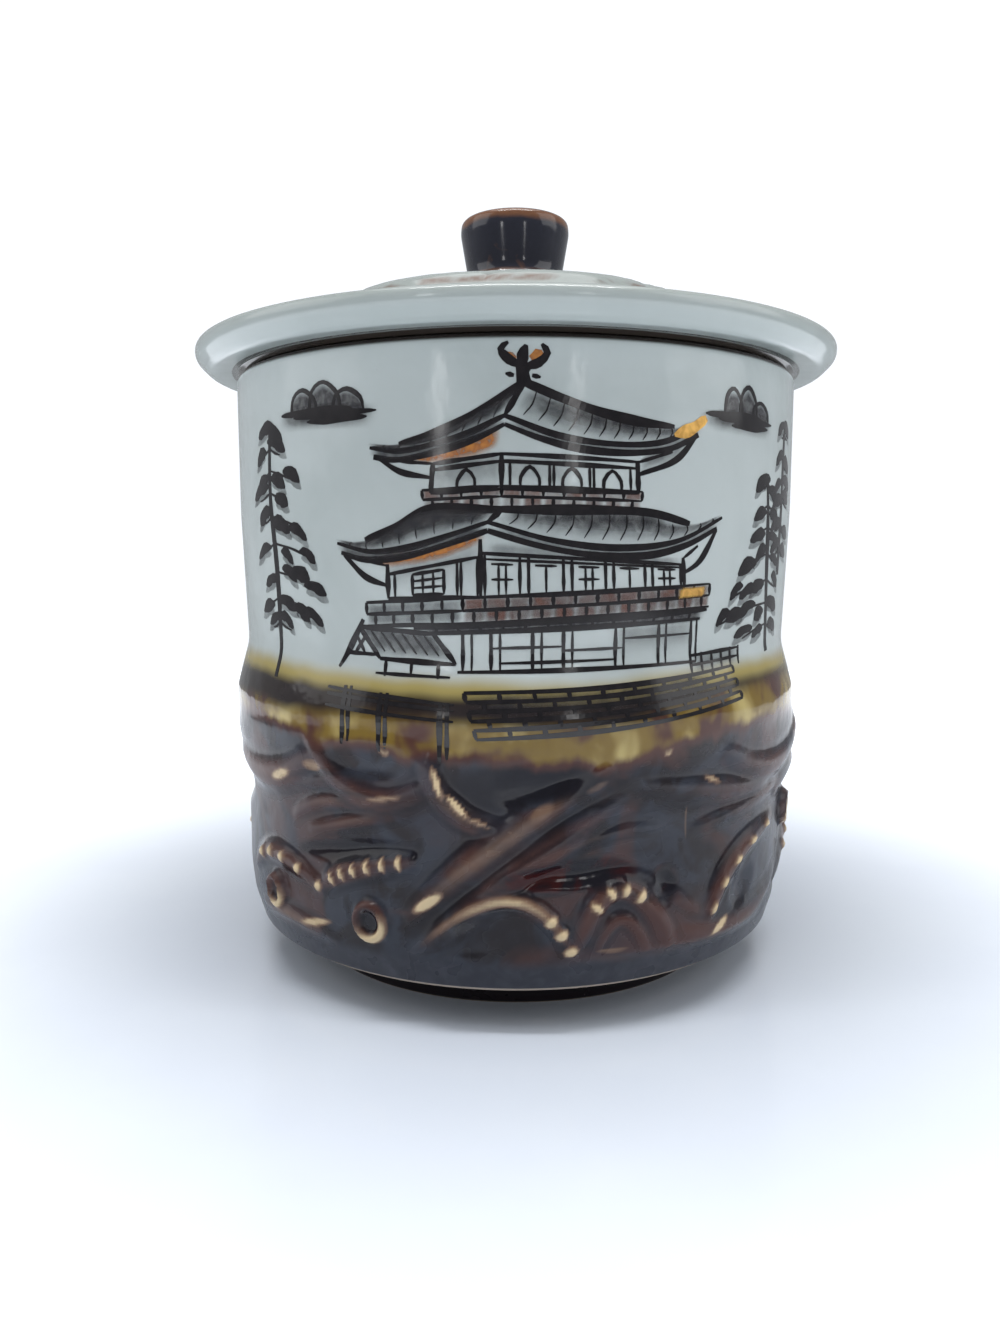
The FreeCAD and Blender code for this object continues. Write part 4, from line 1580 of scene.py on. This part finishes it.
    def _terrace(self, sheet: Sheet) -> None:
        """Draws the lower balcony with its tiles and the dark beam under it.

        Args:
            sheet: the building's sheet.
        """
        sheet.draw(Paint.INK, self.terrace_left.courses(2, 5, width=0.30))
        sheet.draw(Paint.INK, self.terrace_right.courses(2, 12, width=0.30))
        sheet.draw(Paint.ROSE, self._tiles(self.terrace_right, 12))
        for panel, density in ((self.terrace_left, 0.5), (self.terrace_right, 0.42)):
            sheet.draw(Paint.GREY, [Wash(panel, density, 0.05, 0.1, 0.1)])
        gilded = self.terrace_right.inner(0.84, 0.98, 0.05, 0.55)
        sheet.draw(Paint.GOLD, [Wash(gilded, 0.95, 0.15, 0.15, 0.2)])
        sheet.draw(Paint.GREY, [Wash(self.shade, 0.98, 0.06, 0.1, 0.25)])
        sheet.draw(Paint.INK, [self.shade.level(0.15, width=0.5)])
        sheet.draw(Paint.INK, [self.shade.level(0.75, 0.02, 0.98, width=0.4)])
        sheet.draw(Paint.INK, [self.shade.upright(i / 14, 0.1, 0.8, width=0.22) for i in range(1, 14)])

    def _ground(self, sheet: Sheet) -> None:
        """Draws the posts and low walls of the open ground storey.

        Args:
            sheet: the building's sheet.
        """
        for across in (0.02, 0.13, 0.29, 0.41, 0.62, 0.81, 0.97):
            sheet.draw(Paint.INK, [self.ground.upright(across, width=0.30)])
            sheet.draw(Paint.INK, [self.ground.upright(across + 0.035, 0.0, 0.98, width=0.20)])
        sheet.draw(Paint.INK, [
            self.ground.level(0.42, 0.13, 0.41, width=0.22),
            self.ground.level(0.52, 0.41, 0.65, width=0.22),
            self.ground.level(0.78, 0.16, 0.62, width=0.24),
            self.ground.level(0.30, 0.65, 0.97, width=0.2),
            self.ground.level(0.98, 0.0, 1.0, width=0.34),
        ])
        sheet.draw(Paint.GREY, [Wash(self.ground.inner(0.6, 1.0, 0.0, 0.8), 0.35, 0.2, 0.05, 0.7)])

    def _annexe(self, sheet: Sheet) -> None:
        """Draws a low wing on the left with its gable.

        Args:
            sheet: the building's sheet.
        """
        roof = Panel(((-18.9, 46.6), (-9.6, 46.0)), ((-16.2, 43.1), (-7.0, 42.7)))
        sheet.draw(Paint.GREY, [Wash(roof, 0.75, 0.08, 0.1, 0.5)])
        sheet.draw(Paint.INK, roof.border(width=0.42))
        sheet.draw(Paint.INK, [roof.upright(i / 7, 0.1, 0.75, width=0.18) for i in range(1, 7)])
        sheet.draw(Paint.INK, [
            Stroke(((-18.3, 47.4), (-20.0, 44.6), (-21.8, 41.9)), width=0.5),
            Stroke(((-20.9, 43.6), (-16.6, 43.5)), width=0.32),
            Stroke(((-19.3, 45.6), (-18.2, 43.6)), width=0.3),
            Stroke(((-18.0, 45.6), (-19.6, 43.6)), width=0.3),
            Stroke(((-15.4, 43.0), (-15.4, 41.2)), width=0.3),
            Stroke(((-12.2, 42.9), (-12.2, 41.2)), width=0.24),
            Stroke(((-9.0, 42.7), (-9.0, 41.1)), width=0.3),
            Stroke(((-16.6, 41.5), (-7.6, 41.3)), width=0.26),
        ])

    def _bank(self, sheet: Sheet) -> None:
        """Draws the stone embankment and a short fence on it.

        Args:
            sheet: the building's sheet.
        """
        sheet.draw(Paint.INK, self.bank.courses(5, 9, width=0.36))
        sheet.draw(Paint.GREY, [Wash(self.bank.inner(0.0, 0.9, 0.0, 0.6), 0.6, 0.15, 0.1, 0.7)])
        fence = Panel(((21.0, 43.4), (29.6, 43.9)), ((21.0, 41.0), (29.4, 41.7)))
        sheet.draw(Paint.INK, [fence.level(0.1, width=0.3), fence.level(0.55, width=0.24)])
        sheet.draw(Paint.INK, [fence.upright(i / 5, 0.0, 1.0, width=0.26) for i in range(6)])
        sheet.draw(Paint.GREY, [Wash(fence, 0.4)])

    def _pier(self, sheet: Sheet) -> None:
        """Draws a landing stage in front of the wing.

        Args:
            sheet: the building's sheet.
        """
        for distance, top in ((-20.4, 39.9), (-15.6, 39.4), (-8.5, 38.6)):
            sheet.draw(Paint.INK, [Stroke(((distance, top), (distance, top - 6.6)), width=0.42)])
            sheet.draw(Paint.INK, [Stroke(((distance + 0.8, top), (distance + 0.8, top - 6.2)), width=0.34)])
        rails = Panel(((-23.0, 39.6), (-7.0, 38.4)), ((-23.0, 37.6), (-7.0, 36.6)))
        sheet.draw(Paint.INK, [rails.level(down, width=0.30) for down in (0.0, 0.35, 1.0)])


@dataclass(frozen=True)
class Pine:
    """A brushed pine: a thin trunk with drooping pads of needles in tiers."""

    trunk: tuple[Point, ...]
    tiers: tuple[tuple[float, float, float], ...]
    seed: int = 1

    def draw(self, sheet: Sheet) -> None:
        """Draws the trunk, then each tier's twigs and pads (height, reach left, reach right).

        Args:
            sheet: the part of the picture that it belongs to.
        """
        chance = random.Random(self.seed)
        sheet.draw(Paint.INK, [Stroke(self.trunk, width=0.62, start=0.4, end=0.9)])
        for height, left, right in self.tiers:
            centre = float(np.interp(-height, [-z for _, z in self.trunk], [u for u, _ in self.trunk]))
            for reach in (-left, right):
                if reach:
                    self._branch(sheet, chance, centre, height, reach)

    def _branch(
        self, sheet: Sheet, chance: random.Random, centre: float, height: float, reach: float
    ) -> None:
        """Draws one branch with its pads.

        Args:
            sheet: the part of the picture that it belongs to.
            chance: the pine's own seeded chance.
            centre: the trunk's distance from the front.
            height: height at which it leaves the trunk.
            reach: how far it goes, to the right if positive.
        """
        side = math.copysign(1.0, reach)
        tip = (centre + reach, height - 0.16 * abs(reach))
        twig = ((centre, height + 0.5), (centre + 0.5 * reach, height - 0.1), tip)
        sheet.draw(Paint.INK, [Stroke(twig, width=0.2)])
        pads = max(1, round(abs(reach) / 3.0))
        for pad in range(pads):
            share = (pad + 0.8) / pads
            u = centre + reach * share + chance.uniform(-0.5, 0.5)
            z = height + 0.5 - 0.16 * abs(reach) * share + chance.uniform(-1.0, 0.8)
            half = chance.uniform(1.2, 2.1)
            droop = chance.uniform(0.5, 1.3)
            path = ((u - side * half, z + 0.35), (u, z + 0.2), (u + side * half, z - droop))
            sheet.draw(Paint.INK, [Stroke(path, width=chance.uniform(0.75, 1.2), start=0.2, end=0.2)])
            low = tuple((x + 0.3 * side, y - 0.8) for x, y in path)
            sheet.draw(Paint.GREY, [Stroke(low, width=0.8, start=0.2, end=0.2, density=0.45)])


@dataclass(frozen=True)
class Cloud:
    """A cloud of round lobes over a long trailing base."""

    centre: Point
    half_width: float
    lobes: tuple[tuple[float, float, float], ...]

    def draw(self, sheet: Sheet) -> None:
        """Draws each lobe's outline and wash (offset, width, height), then the base.

        Args:
            sheet: the part of the picture that it belongs to.
        """
        u, z = self.centre
        for offset, width, height in self.lobes:
            middle = u + offset
            arc = ((middle - width, z), (middle - 0.75 * width, z + 0.75 * height), (middle, z + height),
                   (middle + 0.8 * width, z + 0.6 * height), (middle + width, z))
            sheet.draw(Paint.INK, [Stroke(arc, width=0.34, start=0.4, end=0.3)])
            lobe = Panel(arc, ((middle - width, z), (middle + width, z)))
            sheet.draw(Paint.GREY, [Wash(lobe, 0.95, 0.05, 0.02, 0.2)])
        half = self.half_width
        smear = Panel(
            ((u - half, z + 0.8), (u, z + 1.2), (u + half, z + 0.8)),
            ((u - half, z - 1.5), (u + half, z - 2.0)),
        )
        sheet.draw(Paint.GREY, [Wash(smear, 0.98, 0.25, 0.3, 0.6)])
        for left, right, drop in ((-0.9, 0.55, 0.35), (-0.6, 0.95, -0.1), (-0.3, 0.8, -0.7)):
            line = ((u + half * left, z + drop), (u + half * right, z + drop + 0.1))
            sheet.draw(Paint.INK, [Stroke(line, width=0.60, start=0.2, end=0.15)])


@dataclass(frozen=True)
class Picture:
    """The brush-painted scene on the front: pavilion, pines and clouds."""

    pavilion: Pavilion = Pavilion()
    left_pine: Pine = Pine(
        ((-33.6, 70.2), (-33.9, 62.0), (-33.1, 52.0), (-33.2, 39.8)),
        ((69.0, 1.2, 1.4), (66.6, 2.2, 2.4), (64.0, 1.6, 5.2), (61.4, 2.9, 3.4), (58.6, 2.2, 6.0),
         (55.4, 3.0, 7.4), (52.0, 2.3, 8.4), (48.9, 3.0, 7.6), (46.0, 1.8, 2.6)),
        11,
    )
    right_pine: Pine = Pine(
        ((34.8, 63.5), (35.6, 57.0), (36.3, 50.0), (37.2, 42.6)),
        ((62.6, 1.6, 1.6), (60.0, 3.0, 2.4), (57.4, 3.6, 3.0), (54.2, 5.8, 2.6), (51.0, 8.0, 3.2),
         (48.2, 11.0, 2.6), (45.6, 6.4, 2.2)),
        5,
    )
    far_pine: Pine = Pine(
        ((40.6, 70.0), (40.2, 62.0), (40.4, 52.0)),
        ((69.0, 1.2, 1.4), (66.4, 1.8, 2.2), (63.6, 2.2, 2.4), (60.8, 2.0, 2.8), (57.8, 2.4, 2.6),
         (54.8, 2.2, 3.0)),
        8,
    )
    clouds: tuple[Cloud, ...] = (
        Cloud((-23.5, 70.2), 8.0, ((-3.0, 2.3, 2.9), (0.4, 2.5, 3.5), (3.8, 2.2, 2.5))),
        Cloud((28.5, 69.9), 7.2, ((-1.8, 1.7, 3.4), (1.1, 1.9, 3.8), (3.9, 2.0, 2.3))),
    )

    def lay(self, cup: Cup) -> None:
        """Paints the picture on the cup.

        Args:
            cup: the cup, already built.
        """
        materials = {paint: finish.material() for paint, finish in FINISHES.items()}
        self.pavilion.draw().lay(cup, materials)
        pines, clouds = Sheet("pines"), Sheet("clouds")
        for pine in (self.left_pine, self.right_pine, self.far_pine):
            pine.draw(pines)
        for cloud in self.clouds:
            cloud.draw(clouds)
        pines.lay(cup, materials)
        clouds.lay(cup, materials)


@dataclass(frozen=True)
class Studio:
    """Pale floor, soft light and the photograph's camera, in metres."""

    floor_size: float = 0.62
    camera_place: tuple[float, float, float] = (-0.00206, -0.1455, 0.0555)
    camera_pitch: float = 6.83
    lens: float = 27.0
    front_light: float = 0.24
    back_light: float = 0.42
    backdrop: float = 1.1
    sky_colour: Colour = (0.93, 0.96, 1.0)

    def build(self) -> None:
        """Sets the whole stage."""
        bpy.context.scene.view_settings.view_transform = "Standard"
        self._floor()
        self._sky()
        self._lamp("lamp_left", (-0.60, -0.10, 0.40), 0.5, 1.0)
        self._lamp("lamp_right", (0.60, -0.15, 0.38), 0.5, 1.1)
        self._lamp("lamp_top", (0.0, -0.05, 0.75), 0.6, 2.2)
        self._lamp("lamp_strip", (0.0, -0.12, 0.60), 0.45, 1.4, 0.03)
        self._lamp("window_left", (-0.153, -0.300, 0.110), 0.024, 0.024, 0.055)
        self._lamp("window_right", (0.116, -0.317, 0.110), 0.016, 0.017, 0.055)
        self._camera()

    def _floor(self) -> None:
        """A wide pale floor that glows more and more away from the cup, painted light that fades it to white.
        """
        deselect()
        bpy.ops.mesh.primitive_grid_add(x_subdivisions=8, y_subdivisions=8, size=self.floor_size)
        floor = bpy.context.object
        floor.name = "floor"
        board = Board("pale_floor")
        cloud = board.noise(board.place(), 30.0, 4.0)
        x, y, _ = board.axes()
        out = (x * x + y * y) ** 0.5
        pale = board.blend(cloud.rise(0.3, 0.7), (0.72, 0.78, 0.88), (0.75, 0.81, 0.90))
        # Painted light: the floor's emission rises from none at the cup to near white further out.
        painted_floor_glow = board.blend(out.rise(30.0, 185.0), (0.0, 0.0, 0.0), (0.95, 0.97, 1.0))
        board.set(Base_Color=pale, Roughness=0.12, Emission_Color=painted_floor_glow, Emission_Strength=1.0)
        floor.data.materials.append(board.material)

    def _sky(self) -> None:
        """White surroundings, brighter behind the cup than behind the camera."""
        board = SkyBoard("white_room")
        bpy.context.scene.world = board.world
        where = board.node("ShaderNodeTexCoord", {}, {}, "Generated")
        backward = board.node("ShaderNodeSeparateXYZ", {}, {0: where}, "Y")
        light = backward.rise(-0.80, 0.60, self.front_light, self.back_light)
        seen = board.node("ShaderNodeLightPath", {}, {}, "Is Camera Ray")
        strength = board.node("ShaderNodeMix", {}, {0: seen, 2: light, 3: self.backdrop})
        board.set(Color=self.sky_colour, Strength=strength)

    def _lamp(self, name: str, place: Place, size: float, power: float, tall: float = 0.0) -> None:
        """Hangs a soft lamp that faces the cup.

        Args:
            name: the lamp's name.
            place: where it hangs.
            size: its width.
            power: its power in watts.
            tall: its height, or 0 where it is square.
        """
        light = bpy.data.lights.new(name, "AREA")
        light.shape = "RECTANGLE"
        light.size = size
        light.size_y = tall or size
        light.energy = power
        lamp = bpy.data.objects.new(name, light)
        bpy.context.scene.collection.objects.link(lamp)
        lamp.location = place
        aim = np.array((0.0, 0.0, 0.05)) - np.array(place)
        flat = math.hypot(aim[0], aim[1])
        lamp.rotation_euler = (math.atan2(flat, -aim[2]), 0.0, math.atan2(aim[1], aim[0]) - math.pi / 2)

    def _camera(self) -> None:
        """The photograph's point of view."""
        data = bpy.data.cameras.new("camera")
        data.lens = self.lens
        data.sensor_width = 36.0
        data.clip_start = 0.005
        data.clip_end = 50.0
        camera = bpy.data.objects.new("camera", data)
        camera.location = self.camera_place
        camera.rotation_euler = (math.radians(90.0 - self.camera_pitch), 0.0, 0.0)
        bpy.context.scene.collection.objects.link(camera)
        bpy.context.scene.camera = camera


def main() -> None:
    """Builds the camera, the stage and the two pieces."""
    logging.basicConfig(level=logging.INFO, format="%(message)s")
    random.seed(7)
    Studio().build()
    cup = Cup()
    cup.build()
    Lid().build()
    Picture().lay(cup)


if __name__ == "__main__":
    main()
